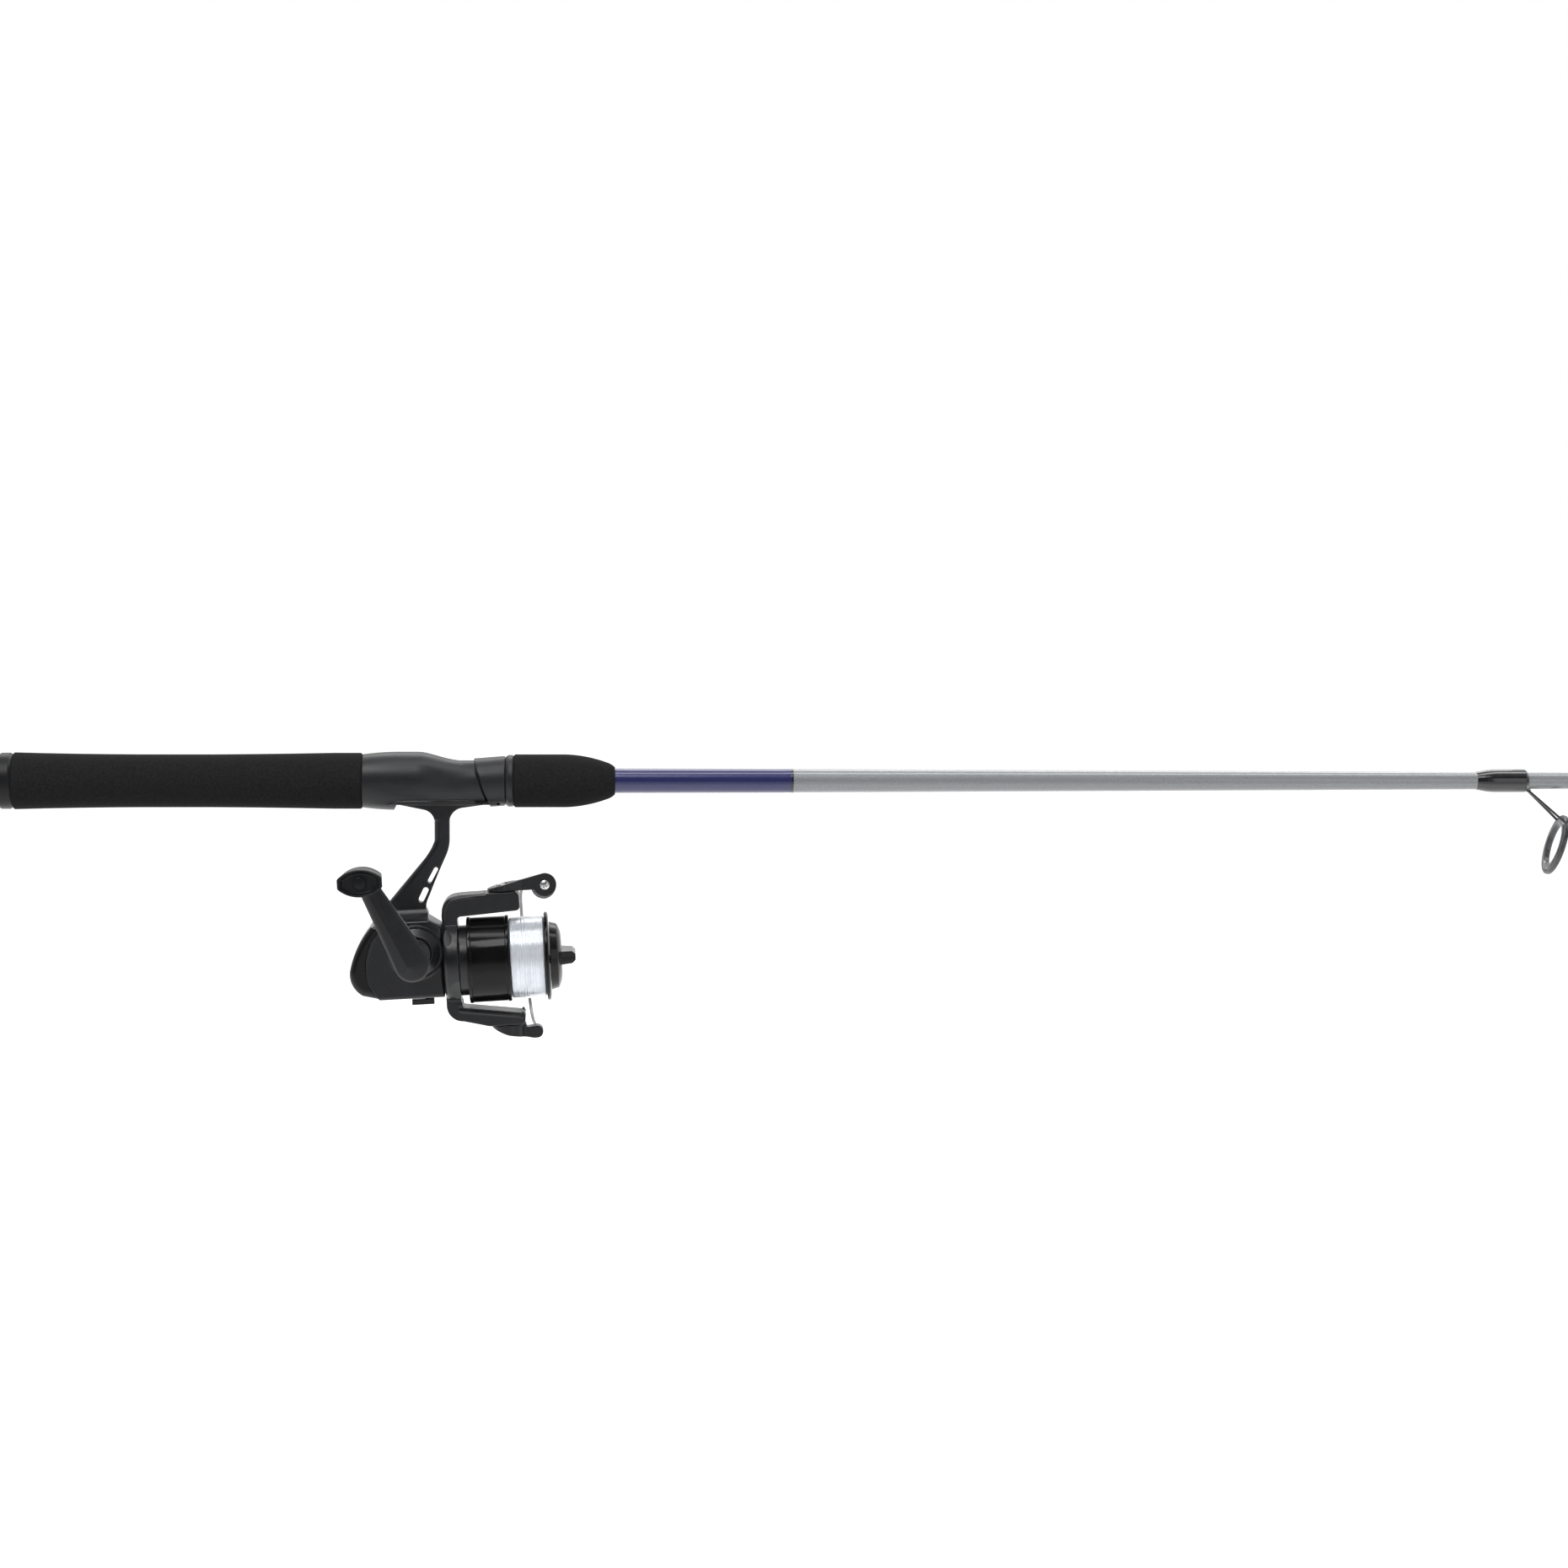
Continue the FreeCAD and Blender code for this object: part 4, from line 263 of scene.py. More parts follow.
def blankFinish(name, look):
    finish, tree, shader = startFinish(name)
    point = objectPoint(tree)
    flakes = noiseAt(tree, look["flake"], grainDetail, point)
    beyond = mathStep(tree, "GREATER_THAN", axisOf(tree, point, "X"), look["bandEnd"] * mm)
    mix = addNode(tree, "ShaderNodeMix", data_type="RGBA")
    tree.links.new(beyond, mix.inputs["Factor"])
    for socket, low, high in (("A", "violetDark", "violetLight"), ("B", "greyDark", "greyLight")):
        tree.links.new(ramped(tree, flakes, look[low], look[high]), mix.inputs[socket])
    tree.links.new(mix.outputs["Result"], shader.inputs["Base Color"])
    mottle = noiseAt(tree, look["patch"], look["patchDetail"], point)
    tree.links.new(ranged(tree, mottle, noiseLow, noiseHigh, *look["rough"]),
                   shader.inputs["Roughness"])
    size, depth = look["grain"]
    grain = noiseAt(tree, size, grainDetail, point)
    tree.links.new(bumped(tree, grain, depth), shader.inputs["Normal"])
    for socket, value in look["sockets"].items():
        shader.inputs[socket].default_value = value
    return finish


finishes = {name: mouldedFinish(name, look) for name, look in finishLooks.items()}
finishes["blank_grey"] = blankFinish("blank_grey", blankLook)


def finishOf(node):
    return finishes[ownFinish.get(node, slotOf[node])]


for name, node in nodes.items():
    node.data.materials.clear()
    node.data.materials.append(finishOf(name))
print("finishes made:", len(finishes))

# How pieces are added and their meshes made

tiny = 1e-5  # a length below this counts as nothing
roundShare = 0.49  # the most of an edge that the rounding of one corner takes


def linkedPiece(name, mesh, finish):
    piece = bpy.data.objects.new(name, mesh)
    bpy.context.scene.collection.objects.link(piece)
    mesh.materials.clear()
    mesh.materials.append(finish)
    return piece


def addPiece(name, mesh, *covered):
    # a piece shown in place of the covered nodes
    piece = linkedPiece(name, mesh, finishOf(covered[0]))
    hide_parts(*covered)
    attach(piece, bodyOf[covered[0]])
    return piece


def addExtra(name, mesh, body, slot, finish=None):
    # a piece that the frame has no node for
    piece = linkedPiece(name, mesh, finishes[finish or slot])
    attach(piece, body)


def finishedMesh(name, form, sharpAngle=40):
    bmesh.ops.recalc_face_normals(form, faces=form.faces)
    mesh = bpy.data.meshes.new(name)
    form.to_mesh(mesh)
    form.free()
    mesh.polygons.foreach_set("use_smooth", [True] * len(mesh.polygons))
    mesh.set_sharp_from_angle(angle=math.radians(sharpAngle))
    return mesh


def roundedOutline(corners, steps=5):
    # each corner is (across, up, radius), and one without a radius stays sharp
    outline = []
    count = len(corners)
    for index, corner in enumerate(corners):
        point = Vector(corner[:2])
        radius = corner[2] if len(corner) > 2 else 0
        if radius == 0:
            outline.append(point)
            continue
        before = Vector(corners[index - 1][:2]) - point
        after = Vector(corners[(index + 1) % count][:2]) - point
        half = before.angle(after) / 2
        shorter = min(before.length, after.length)
        reach = min(radius / math.tan(half), shorter * roundShare)
        radius = reach * math.tan(half)
        inward = (before.normalized() + after.normalized()).normalized()
        middle = point + inward * radius / math.sin(half)
        first = point + before.normalized() * reach - middle
        last = point + after.normalized() * reach - middle
        turn = first.angle_signed(last)
        for step in range(steps + 1):
            spoke = first.copy()
            spoke.rotate(Matrix.Rotation(-turn * step / steps, 2))
            outline.append(middle + spoke)
    return outline


def roundedPath(points, steps=6):
    # a smooth run through the points, as a Catmull-Rom curve
    ends = [points[0]] + list(points) + [points[-1]]
    spots = []
    for run in zip(ends, ends[1:], ends[2:], ends[3:]):
        for step in range(steps):
            t = step / steps
            spots.append(tuple(
                0.5 * (2 * b + (c - a) * t + (2 * a - 5 * b + 4 * c - d) * t * t
                       + (3 * b - a - 3 * c + d) * t ** 3) for a, b, c, d in zip(*run)))
    return spots + [points[-1]]


def joinRings(form, rings, closed=False):
    # faces between rings of points, where a ring may be a single point
    pairs = list(zip(rings, rings[1:]))
    if closed:
        pairs.append((rings[-1], rings[0]))
    for first, second in pairs:
        if len(first) == 1 and len(second) == 1:
            continue
        count = max(len(first), len(second))
        for index in range(count):
            after = (index + 1) % count
            if len(first) == 1:
                form.faces.new((first[0], second[index], second[after]))
            elif len(second) == 1:
                form.faces.new((first[index], first[after], second[0]))
            else:
                form.faces.new((first[index], first[after], second[after], second[index]))


def turnedForm(profile, place=rodFrame, segments=96, form=None):
    # a closed outline of (station, radius) turned about the frame's X axis
    form = form or bmesh.new()
    rings = []
    for station, radius in profile:
        if radius < tiny:
            rings.append([form.verts.new(place @ (Vector((station, 0, 0)) * mm))])
            continue
        ring = []
        for index in range(segments):
            angle = 2 * math.pi * index / segments
            spot = Vector((station, radius * math.cos(angle), radius * math.sin(angle)))
            ring.append(form.verts.new(place @ (spot * mm)))
        rings.append(ring)
    joinRings(form, rings, closed=True)
    return form


def turnedPiece(name, corners, node, place, segments):
    form = turnedForm(roundedOutline(corners), place, segments)
    addPiece(name, finishedMesh(name, form), node)


def aboutY(x, z):
    # a frame whose X axis points along the reel's Y axis at the given place
    quarterTurn = Matrix(((0, 0, -1, 0), (1, 0, 0, 0), (0, -1, 0, 0), (0, 0, 0, 1)))
    return reelFrame @ Matrix.Translation((x * mm, 0, z * mm)) @ quarterTurn


def reelPoint(x, y, z):
    return reelFrame @ (Vector((x, y, z)) * mm)


def ringAboutY(form, middle, steps, spotAt):
    # points round a place in the reel's XZ plane, where spotAt gives the radius and Y at an angle
    ring = []
    for step in range(steps):
        angle = 2 * math.pi * step / steps
        radius, y = spotAt(angle)
        ring.append(form.verts.new(reelPoint(middle[0] + radius * math.cos(angle), y,
                                             middle[1] + radius * math.sin(angle))))
    return ring


stripSunk = {"over": 4, "least": 0.2}  # how a strip sinks in over its first and last points


def addStrip(form, path, inward, width, start, end):
    # a flat band of even width along one side of a path, made solid between two values of Y
    spots = [Vector(point) for point in roundedPath(path)]
    last = len(spots) - 1
    rings = []
    for index, spot in enumerate(spots):
        along = (spots[min(index + 1, last)] - spots[max(index - 1, 0)]).normalized()
        inner = spot + Vector((along.y, -along.x)) * inward * width
        share = min(1, (min(index, last - index) + stripSunk["least"]) / stripSunk["over"])
        face = end + (start - end) * share
        corners = [(spot, face), (inner, face), (inner, end), (spot, end)]
        rings.append([form.verts.new(reelPoint(place.x, y, place.y)) for place, y in corners])
    joinRings(form, rings)
    form.faces.new(rings[0])
    form.faces.new(rings[-1][::-1])


def nodeForm(name):
    form = bmesh.new()
    form.from_mesh(nodes[name].data)
    return form


def evaluatedMesh(piece):
    bpy.context.view_layer.update()
    depsgraph = bpy.context.evaluated_depsgraph_get()
    final = bpy.data.meshes.new_from_object(piece.evaluated_get(depsgraph))
    piece.modifiers.clear()
    piece.data = final
    return final


def mouldedPiece(name, node, skin, form=None, shape=None):
    # melts the solids of a form, or else of the node, into one with rounded edges; a skin is
    # the voxel's size, the passes of smoothing and the share of faces kept
    voxel, passes, keep = skin
    form = form or nodeForm(node)
    mesh = bpy.data.meshes.new(name)
    bmesh.ops.recalc_face_normals(form, faces=form.faces)
    form.to_mesh(mesh)
    form.free()
    piece = addPiece(name, mesh, node)
    melt = piece.modifiers.new("melt", "REMESH")
    melt.mode = "VOXEL"
    melt.voxel_size = voxel * mm
    if shape:
        for vertex in evaluatedMesh(piece).vertices:
            vertex.co = shape(vertex.co)
    soften = piece.modifiers.new("soften", "SMOOTH")
    soften.factor = 0.5
    soften.iterations = passes
    thin = piece.modifiers.new("thin", "DECIMATE")
    thin.ratio = keep
    final = evaluatedMesh(piece)
    final.polygons.foreach_set("use_smooth", [True] * len(final.polygons))


# The seat, its sliding hood and the ring at the end of the coloured band

seat = {"skin": (0.3, 6, 0.5), "hoodSkin": (0.22, 4, 0.5)}
mouldedPiece("reelSeat", "reel_seat", seat["skin"])
mouldedPiece("slidingHood", "sliding_hood", seat["hoodSkin"])

bandRing = {"start": 381.3, "end": 382.3, "inside": 5.5, "radius": 5.8, "edge": 0.1}
bandOutline = roundedOutline([
    (bandRing["start"], bandRing["inside"]),
    (bandRing["start"], bandRing["radius"], bandRing["edge"]),
    (bandRing["end"], bandRing["radius"], bandRing["edge"]),
    (bandRing["end"], bandRing["inside"]),
])
addExtra("bandRing", finishedMesh("bandRing", turnedForm(bandOutline)), "rod", "wrap_black")
print("seat ready")

# The thread wraps, each a varnished swelling over a guide's foot

wrap = {"apart": 20.0, "nearCrest": 0.08, "nearEnd": 0.05, "heelRound": 90.0, "toeRound": 1.2,
        "steps": 8, "segments": 64,
        "nodes": {"stripperWrap": "stripper_guide_wrap", "smallWraps": "guide_wraps",
                  "ferruleWrap": "ferrule_wrap"}}


def wrapBands(node):
    # the solid's points, in one list for each wrap along the rod
    spots = [vertex.co / mm for vertex in nodes[node].data.vertices]
    bands = []
    for spot in sorted(spots, key=lambda spot: spot.x):
        if not bands or spot.x - bands[-1][-1].x > wrap["apart"]:
            bands.append([])
        bands[-1].append(spot)
    return bands


def wrapOutline(band):
    reach = [(spot.x, math.hypot(spot.y, spot.z)) for spot in band]
    start, end = reach[0][0], reach[-1][0]
    crest = max(radius for _, radius in reach)
    high = [station for station, radius in reach if radius > crest - wrap["nearCrest"]]
    heel = [radius for station, radius in reach if station < start + wrap["nearEnd"]]
    toe = [radius for station, radius in reach if station > end - wrap["nearEnd"]]
    corners = [(start, min(heel)), (start, max(heel)), (min(high), crest, wrap["heelRound"]),
               (max(high), crest, wrap["toeRound"]), (end, max(toe)), (end, min(toe))]
    return roundedOutline(corners, wrap["steps"])


for wrapName, nodeName in wrap["nodes"].items():
    wrapForm = bmesh.new()
    for band in wrapBands(nodeName):
        turnedForm(wrapOutline(band), rodFrame, wrap["segments"], wrapForm)
    addPiece(wrapName, finishedMesh(wrapName, wrapForm), nodeName)
print("wraps ready")

# The reel's housing: its foot hugs the seat, and lips run round the crank's boss.

saddle = {"start": 192.5, "end": 237.0, "low": -10.8, "top": -7.9, "endRise": 0.3, "proud": 0.45,
          "deep": 0.7, "fade": 9.0, "castFrom": 40, "missed": 6.6, "steps": 36, "rows": 5,
          "slopingRows": 2}


def addSaddle(form):
    # a wall on each side of the seat, which follows the seat's surface
    seatMesh = nodes["reel_seat"].data
    surface = BVHTree.FromPolygons([vertex.co for vertex in seatMesh.vertices],
                                   [face.vertices for face in seatMesh.polygons])
    climb = saddle["top"] - saddle["low"] - saddle["endRise"]
    for side in (-1, 1):
        rings = []
        for step in range(saddle["steps"] + 1):
            station = saddle["start"] + (saddle["end"] - saddle["start"]) * step / saddle["steps"]
            near = min(station - saddle["start"], saddle["end"] - station) / saddle["fade"]
            rise = math.sin(min(near, 1) * math.pi / 2)
            top = saddle["low"] + saddle["endRise"] + climb * rise
            outside, inside = [], []
            for row in range(saddle["rows"]):
                height = saddle["low"] + (top - saddle["low"]) * row / (saddle["rows"] - 1)
                start = Vector((station, side * saddle["castFrom"], height)) * mm
                hit = surface.ray_cast(start, Vector((0, -side, 0)))[0]
                across = abs(hit.y) / mm if hit else saddle["missed"]
                share = min(1, (saddle["rows"] - row) / saddle["slopingRows"])
                proud = saddle["proud"] * share
                outside.append(Vector((station, side * (across + proud), height)) * mm)
                inside.append(Vector((station, side * (across - saddle["deep"]), height)) * mm)
            rings.append([form.verts.new(spot) for spot in outside + inside[::-1]])
        joinRings(form, rings)
        form.faces.new(rings[0])
        form.faces.new(rings[-1][::-1])


# back and front are the stem's edges: a share of its height and how far ahead of the crank
stem = {
    "half": 3.6, "casingHalf": 12.5, "casingTop": 21.4, "cove": 5.5, "flareStart": 0.2,
    "flareEnd": 17.5, "frontStart": 0.7, "frontFlare": 2, "edge": 2.8, "edgeHalf": 1.3,
    "middle": 0.5, "station": 206.3, "root": -62.8, "foot": -10.8,
    "back": ((-0.1, -20.0), (0.052, -16.0), (0.465, 1.7), (0.604, 6.7), (0.669, 8.1),
             (0.86, 8.1)),
    "front": ((-0.1, 6.4), (0.0, 4.9), (0.07, 4.1), (0.12, 4.5), (0.188, 6.0), (0.363, 9.6),
              (0.54, 13.6), (0.86, 60.0)),
}


def stemEdge(edge, share):
    for (low, first), (high, second) in zip(edge, edge[1:]):
        if low <= share <= high:
            return first + (second - first) * (share - low) / (high - low)
    return None


def stemShape(spot):
    # a small cove where the stem meets the casing, and a round back edge up to the foot
    share = (spot.z / mm - stem["root"]) / (stem["foot"] - stem["root"])
    back, front = (stemEdge(stem[edge], share) for edge in ("back", "front"))
    if back is None:
        return spot
    rise = (toReel @ spot / mm).z - stem["casingTop"]
    across = abs(spot.y) / mm
    ahead = spot.x / mm - stem["station"]
    if stem["flareStart"] < rise < stem["flareEnd"]:
        near = max(0, 1 - rise / stem["cove"])
        flare = 1 - math.sqrt(1 - near ** 2)
        across = min(across, stem["half"] + (stem["casingHalf"] - stem["half"]) * flare)
        ahead = max(ahead, back)
        if rise > stem["frontStart"]:
            ahead = min(ahead, front + stem["frontFlare"] * near ** 2)
    if rise > stem["cove"] and across > stem["middle"]:
        inset = min(1, max(0, (ahead - back) / stem["edge"]))
        swell = math.sqrt(1 - (1 - inset) ** 2)
        across = min(across, stem["edgeHalf"] + (stem["half"] - stem["edgeHalf"]) * swell)
    x, y = ahead + stem["station"], math.copysign(across, spot.y)
    return Vector((x * mm, y * mm, spot.z))


# each lip is its radius and the Y of its foot and its top, and the bead lies over a joint
housing = {
    "bodySkin": (0.26, 8, 0.35), "coverSkin": (0.26, 6, 0.4), "leverSkin": (0.15, 4, 0.5),
    "lips": ((12.2, -12.3, -13.5), (7.7, -15.2, -16.1)), "lipFoot": 1.1, "lipTop": 0.66,
    "bead": ((-16.5, 17.6), (-20.6, 12.0), (-23.2, 4.0), (-23.6, -1.0), (-22.6, -7.6),
             (-18.2, -14.9)),
    "beadWidth": 0.7, "beadStart": -12.75, "beadEnd": -11.8,
}
bodyForm = nodeForm("reel_body")
addSaddle(bodyForm)
mouldedPiece("reelBody", "reel_body", housing["bodySkin"], bodyForm, stemShape)

crankPlace = aboutY(0, crankRise)
coverForm = nodeForm("side_cover")
for radius, foot, top in housing["lips"]:
    halfFoot, halfTop = housing["lipFoot"] / 2, housing["lipTop"] / 2
    turnedForm([(foot, radius - halfFoot), (foot, radius + halfFoot), (top, radius + halfTop),
                (top, radius - halfTop)], crankPlace, form=coverForm)
addStrip(coverForm, housing["bead"], -1, housing["beadWidth"], housing["beadStart"],
         housing["beadEnd"])
mouldedPiece("sideCover", "side_cover", housing["coverSkin"], coverForm)
mouldedPiece("rearCover", "rear_cover", housing["coverSkin"])
mouldedPiece("stopLever", "anti_reverse_lever", housing["leverSkin"])
print("housing ready")

# The crank's arm, with a ridge along it, and its knob. The rings are (inset, Y) and the sleeve's
# outline is (Y, radius).

arm = {
    "hub": 8.1, "tip": 4.1, "length": 45.7, "lean": 26.4, "steps": 40, "skin": (0.22, 3, 0.5),
    "rings": ((0.5, -50.8), (0, -51.4), (0, -53.9), (0.9, -54.7)),
    "ridge": -55.45, "ridgeHub": -2.4, "ridgeTip": -1.2, "weld": 0.01,
    "sleeve": ((-51.8, 0), (-51.8, 5.6), (-49.2, 4.2), (-20.6, 4.2), (-19.6, 7.0), (-16.6, 7.0),
               (-16.6, 0)),
    "sleeveSegments": 64,
}
armLean = math.radians(arm["lean"])
armAlong = Vector((-math.sin(armLean), math.cos(armLean)))
armAcross = Vector((armAlong.y, -armAlong.x))


def armRing(form, inset, y, ridge=False):
    # the outline round hub and tip, drawn in by the inset, or drawn down to the ridge's line
    spread = math.acos((arm["hub"] - arm["tip"]) / arm["length"])
    spots = []
    for middle, radius, start, end in ((arm["length"], arm["tip"], -spread, spread),
                                       (0, arm["hub"], spread, 2 * math.pi - spread)):
        for step in range(arm["steps"] + 1):
            angle = start + (end - start) * step / arm["steps"]
            along = middle + (radius - inset) * math.cos(angle)
            across = (radius - inset) * math.sin(angle)
            if ridge:
                along = min(max(along, 0), arm["length"])
                share = along / arm["length"]
                across = arm["ridgeHub"] + (arm["ridgeTip"] - arm["ridgeHub"]) * share
            spot = armAlong * along + armAcross * across
            spots.append(form.verts.new(reelPoint(spot.x, y, spot.y + crankRise)))
    return spots


armForm = bmesh.new()
armRings = [armRing(armForm, inset, y) for inset, y in arm["rings"]]
armRings.append(armRing(armForm, 0, arm["ridge"], ridge=True))
joinRings(armForm, armRings)
armForm.faces.new(armRings[0])
bmesh.ops.remove_doubles(armForm, verts=armForm.verts, dist=arm["weld"] * mm)
turnedForm(arm["sleeve"], crankPlace, arm["sleeveSegments"], armForm)
mouldedPiece("handleArm", "handle_arm", arm["skin"], armForm)

# the knob's rings are (Y, share of its full outline), its bore's are (Y, radius)
knob = {
    "halfLength": 10.15, "halfHeight": 6.3, "blunt": 2.2, "steps": 96, "skin": (0.22, 3, 0.5),
    "rings": ((-57.4, 0.84), (-58.4, 0.9), (-66, 0.9), (-75.2, 0.985), (-77.4, 1.0),
              (-78.2, 0.96), (-78.2, 0.88), (-77.0, 0.79), (-76.2, 0.7)),
    "bore": ((-76.2, 2.35), (-57.4, 2.35)),
    "pin": ((-50.9, 0), (-50.9, 2.15), (-76.0, 2.15), (-76.1, 2.9, 0.2), (-77.3, 2.8, 0.5),
            (-77.5, 0)),
    "pinSegments": 48,
}
armEnd = armAlong * arm["length"]
knobCentre = armEnd.x, armEnd.y + crankRise


def knobReach(angle):
    # the knob's outline is two bows between blunt ends
    across, up = abs(math.cos(angle)), abs(math.sin(angle))
    rise = knob["halfHeight"] - knob["blunt"]
    bow = (knob["halfLength"] ** 2 + rise ** 2) / (2 * rise)
    drop = knob["halfHeight"] - bow
    reach = up * drop + math.sqrt((up * drop) ** 2 - drop ** 2 + bow ** 2)
    return min(reach, knob["halfLength"] / max(across, tiny))


knobForm = bmesh.new()
knobRings = []
for y, share in knob["rings"]:
    knobRings.append(ringAboutY(knobForm, knobCentre, knob["steps"],
                                lambda angle: (knobReach(angle) * share, y)))
for y, radius in knob["bore"]:
    knobRings.append(ringAboutY(knobForm, knobCentre, knob["steps"], lambda angle: (radius, y)))
joinRings(knobForm, knobRings, closed=True)
mouldedPiece("handleKnob", "handle_knob", knob["skin"], knobForm)
turnedPiece("knobPin", knob["pin"], "knob_pin", aboutY(*knobCentre), knob["pinSegments"])
print("crank ready")

# The rotor, with lips along the arms' edges

rotor = {
    "skin": (0.26, 5, 0.35), "side": 8.0, "proud": 0.5, "deep": 1, "bevelFoot": 7.3,
    "slope": 0.95, "coverSkin": (0.16, 3, 0.5), "coverProud": 0.1,
    "upper": ((12.75, 19.0), (12.75, 23.8), (14.95, 29.1), (20.25, 31.3), (33.6, 31.6)),
    "upperWidth": 1.3,
    "lower": ((20.2, -18.6), (20.4, -20.9), (21.6, -21.9), (47.2, -25.4), (48.6, -26.4),
              (48.9, -28.2)),
    "lowerWidth": 1.7,
}
rotorEdges = [[Vector(spot) for spot in roundedPath(rotor[edge])] for edge in ("upper", "lower")]


def beside(path, spot):
    # how far a spot lies from a path
    nearest = math.inf
    for first, second in zip(path, path[1:]):
        run = second - first
        share = min(1, max(0, (spot - first).dot(run) / run.length_squared))
        nearest = min(nearest, (first + run * share - spot).length)
    return nearest


def rotorShape(spot):
    # a bevel along the arms' edges that faces up and out
    inReel = toReel @ spot / mm
    if abs(inReel.y) < rotor["bevelFoot"]:
        return spot
    away = min(beside(edge, Vector((inReel.x, inReel.z))) for edge in rotorEdges)
    limit = rotor["bevelFoot"] + away * rotor["slope"]
    inReel.y = math.copysign(min(abs(inReel.y), limit), inReel.y)
    return reelFrame @ (inReel * mm)


def armCoverShape(spot):
    # the cover stands a little proud of the arm
    return rotorShape(spot) + reelUp * rotor["coverProud"] * mm


rotorForm = nodeForm("rotor")
for side in (-1, 1):
    outer, inner = side * (rotor["side"] + rotor["proud"]), side * (rotor["side"] - rotor["deep"])
    for edge in ("upper", "lower"):
        addStrip(rotorForm, rotor[edge], 1, rotor[edge + "Width"], outer, inner)
mouldedPiece("rotorFrame", "rotor", rotor["skin"], rotorForm, rotorShape)
mouldedPiece("armCover", "rotor_arm_cover", rotor["coverSkin"], shape=armCoverShape)

# The bail, whose roller has a cap. The cap's rim and bore are rings of (radius, Y).

bail = {"skin": (0.2, 4, 0.5)}
mouldedPiece("bailLever", "bail_lever", bail["skin"])
mouldedPiece("bailHolder", "bail_holder", bail["skin"])

rollerCap = {
    "steps": 72, "rimMiddle": (60.8, 33.0), "boreMiddle": (61.4, 34.0),
    "rim": ((5.5, -1.66), (5.8, -1.3), (5.8, -0.8), (5.4, -0.4)),
    "bore": ((4.15, -0.4), (4.15, -1.66)),
}
capForm = bmesh.new()
capRings = []
for part in ("rim", "bore"):
    for radius, y in rollerCap[part]:
        capRings.append(ringAboutY(capForm, rollerCap[part + "Middle"], rollerCap["steps"],
                                   lambda angle: (radius, y)))
joinRings(capForm, capRings, closed=True)
addExtra("rollerCap", finishedMesh("rollerCap", capForm), "bail", "steel", "capSteel")

# The roller's screw: a domed head with a cross cut into it

screw = {"head": 1.1, "dome": 0.7, "rings": 22, "steps": 96, "armWidth": 0.34, "armLength": 1.35,
         "depth": 0.8, "slope": 0.12, "shank": 1.2, "turn": 32.0}
screwSpots = [toReel @ vertex.co / mm for vertex in nodes["roller_screw"].data.vertices]
screwLow, screwHigh = (Vector([pick(spot[axis] for spot in screwSpots) for axis in range(3)])
                       for pick in (min, max))
screwCentre = ((screwLow + screwHigh) / 2).xz
screwRadius = (screwHigh.x - screwLow.x) / 2


def crossDepth(across, up):
    # how deep the cross is cut at a spot on the head
    deepest = 0
    for along, off in ((abs(across), abs(up)), (abs(up), abs(across))):
        inside = min(screw["armWidth"] - off, screw["armLength"] - along)
        deepest = max(deepest, min(1, max(0, inside / screw["slope"])) * screw["depth"])
    return deepest


def headSpot(radius, angle):
    # the radius and Y of a point on the head
    turned = angle + math.radians(screw["turn"])
    drop = screw["dome"] * (radius / screwRadius) ** 2
    depth = crossDepth(radius * math.cos(turned), radius * math.sin(turned))
    return radius, screwLow.y + drop + depth


screwForm = bmesh.new()
screwRings = []
for row in range(screw["rings"] + 1):
    radius = screwRadius * row / screw["rings"]
    screwRings.append(ringAboutY(screwForm, screwCentre, screw["steps"] if row else 1,
                                 lambda angle: headSpot(radius, angle)))
headBack = screwLow.y + screw["head"]
for radius, y in ((screwRadius, headBack), (screw["shank"], headBack),
                  (screw["shank"], screwHigh.y)):
    screwRings.append(ringAboutY(screwForm, screwCentre, screw["steps"],
                                 lambda angle: (radius, y)))
joinRings(screwForm, screwRings)
screwForm.faces.new(screwRings[-1])
addPiece("rollerScrew", finishedMesh("rollerScrew", screwForm), "roller_screw")
print("rotor and bail ready")

# The spool, its line and the drag knob

spool = {
    "bore": 1.55, "back": 23.8, "front": 43.5, "skirt": 20.3, "inside": 18.8, "arbor": 13.0,
    "bandStart": 25.3, "bandEnd": 41.9, "bandSlant": 0.3, "band": 19.95, "wall": 41.7,
    "flangeBack": 60.0, "flangeFront": 62.0, "flange": 20.8, "lip": 61.5, "lipCrest": 19.6,
    "lipInside": 18.2, "pit": 11.5, "pitFloor": 55.0, "segments": 144,
}
spoolCorners = [
    (spool["back"], spool["inside"], 0.2), (spool["back"], spool["skirt"], 0.5),
    (spool["bandStart"], spool["skirt"], 0.3),
    (spool["bandStart"] + spool["bandSlant"], spool["band"], 0.2),
    (spool["bandEnd"] - spool["bandSlant"], spool["band"], 0.2),
    (spool["bandEnd"], spool["skirt"], 0.2),
    (spool["front"], spool["skirt"], 0.6), (spool["front"], spool["arbor"], 0.8),
    (spool["flangeBack"], spool["arbor"], 0.8), (spool["flangeBack"], spool["flange"], 0.6),
    (spool["lip"], spool["flange"], 0.5), (spool["flangeFront"], spool["lipCrest"], 0.4),
    (spool["lip"], spool["lipInside"], 0.4), (spool["lip"], spool["pit"], 0.3),
    (spool["pitFloor"], spool["pit"]), (spool["pitFloor"], spool["bore"]),
    (spool["wall"], spool["bore"]), (spool["wall"], spool["inside"], 0.5),
]
turnedPiece("spoolBody", spoolCorners, "spool", reelFrame, spool["segments"])

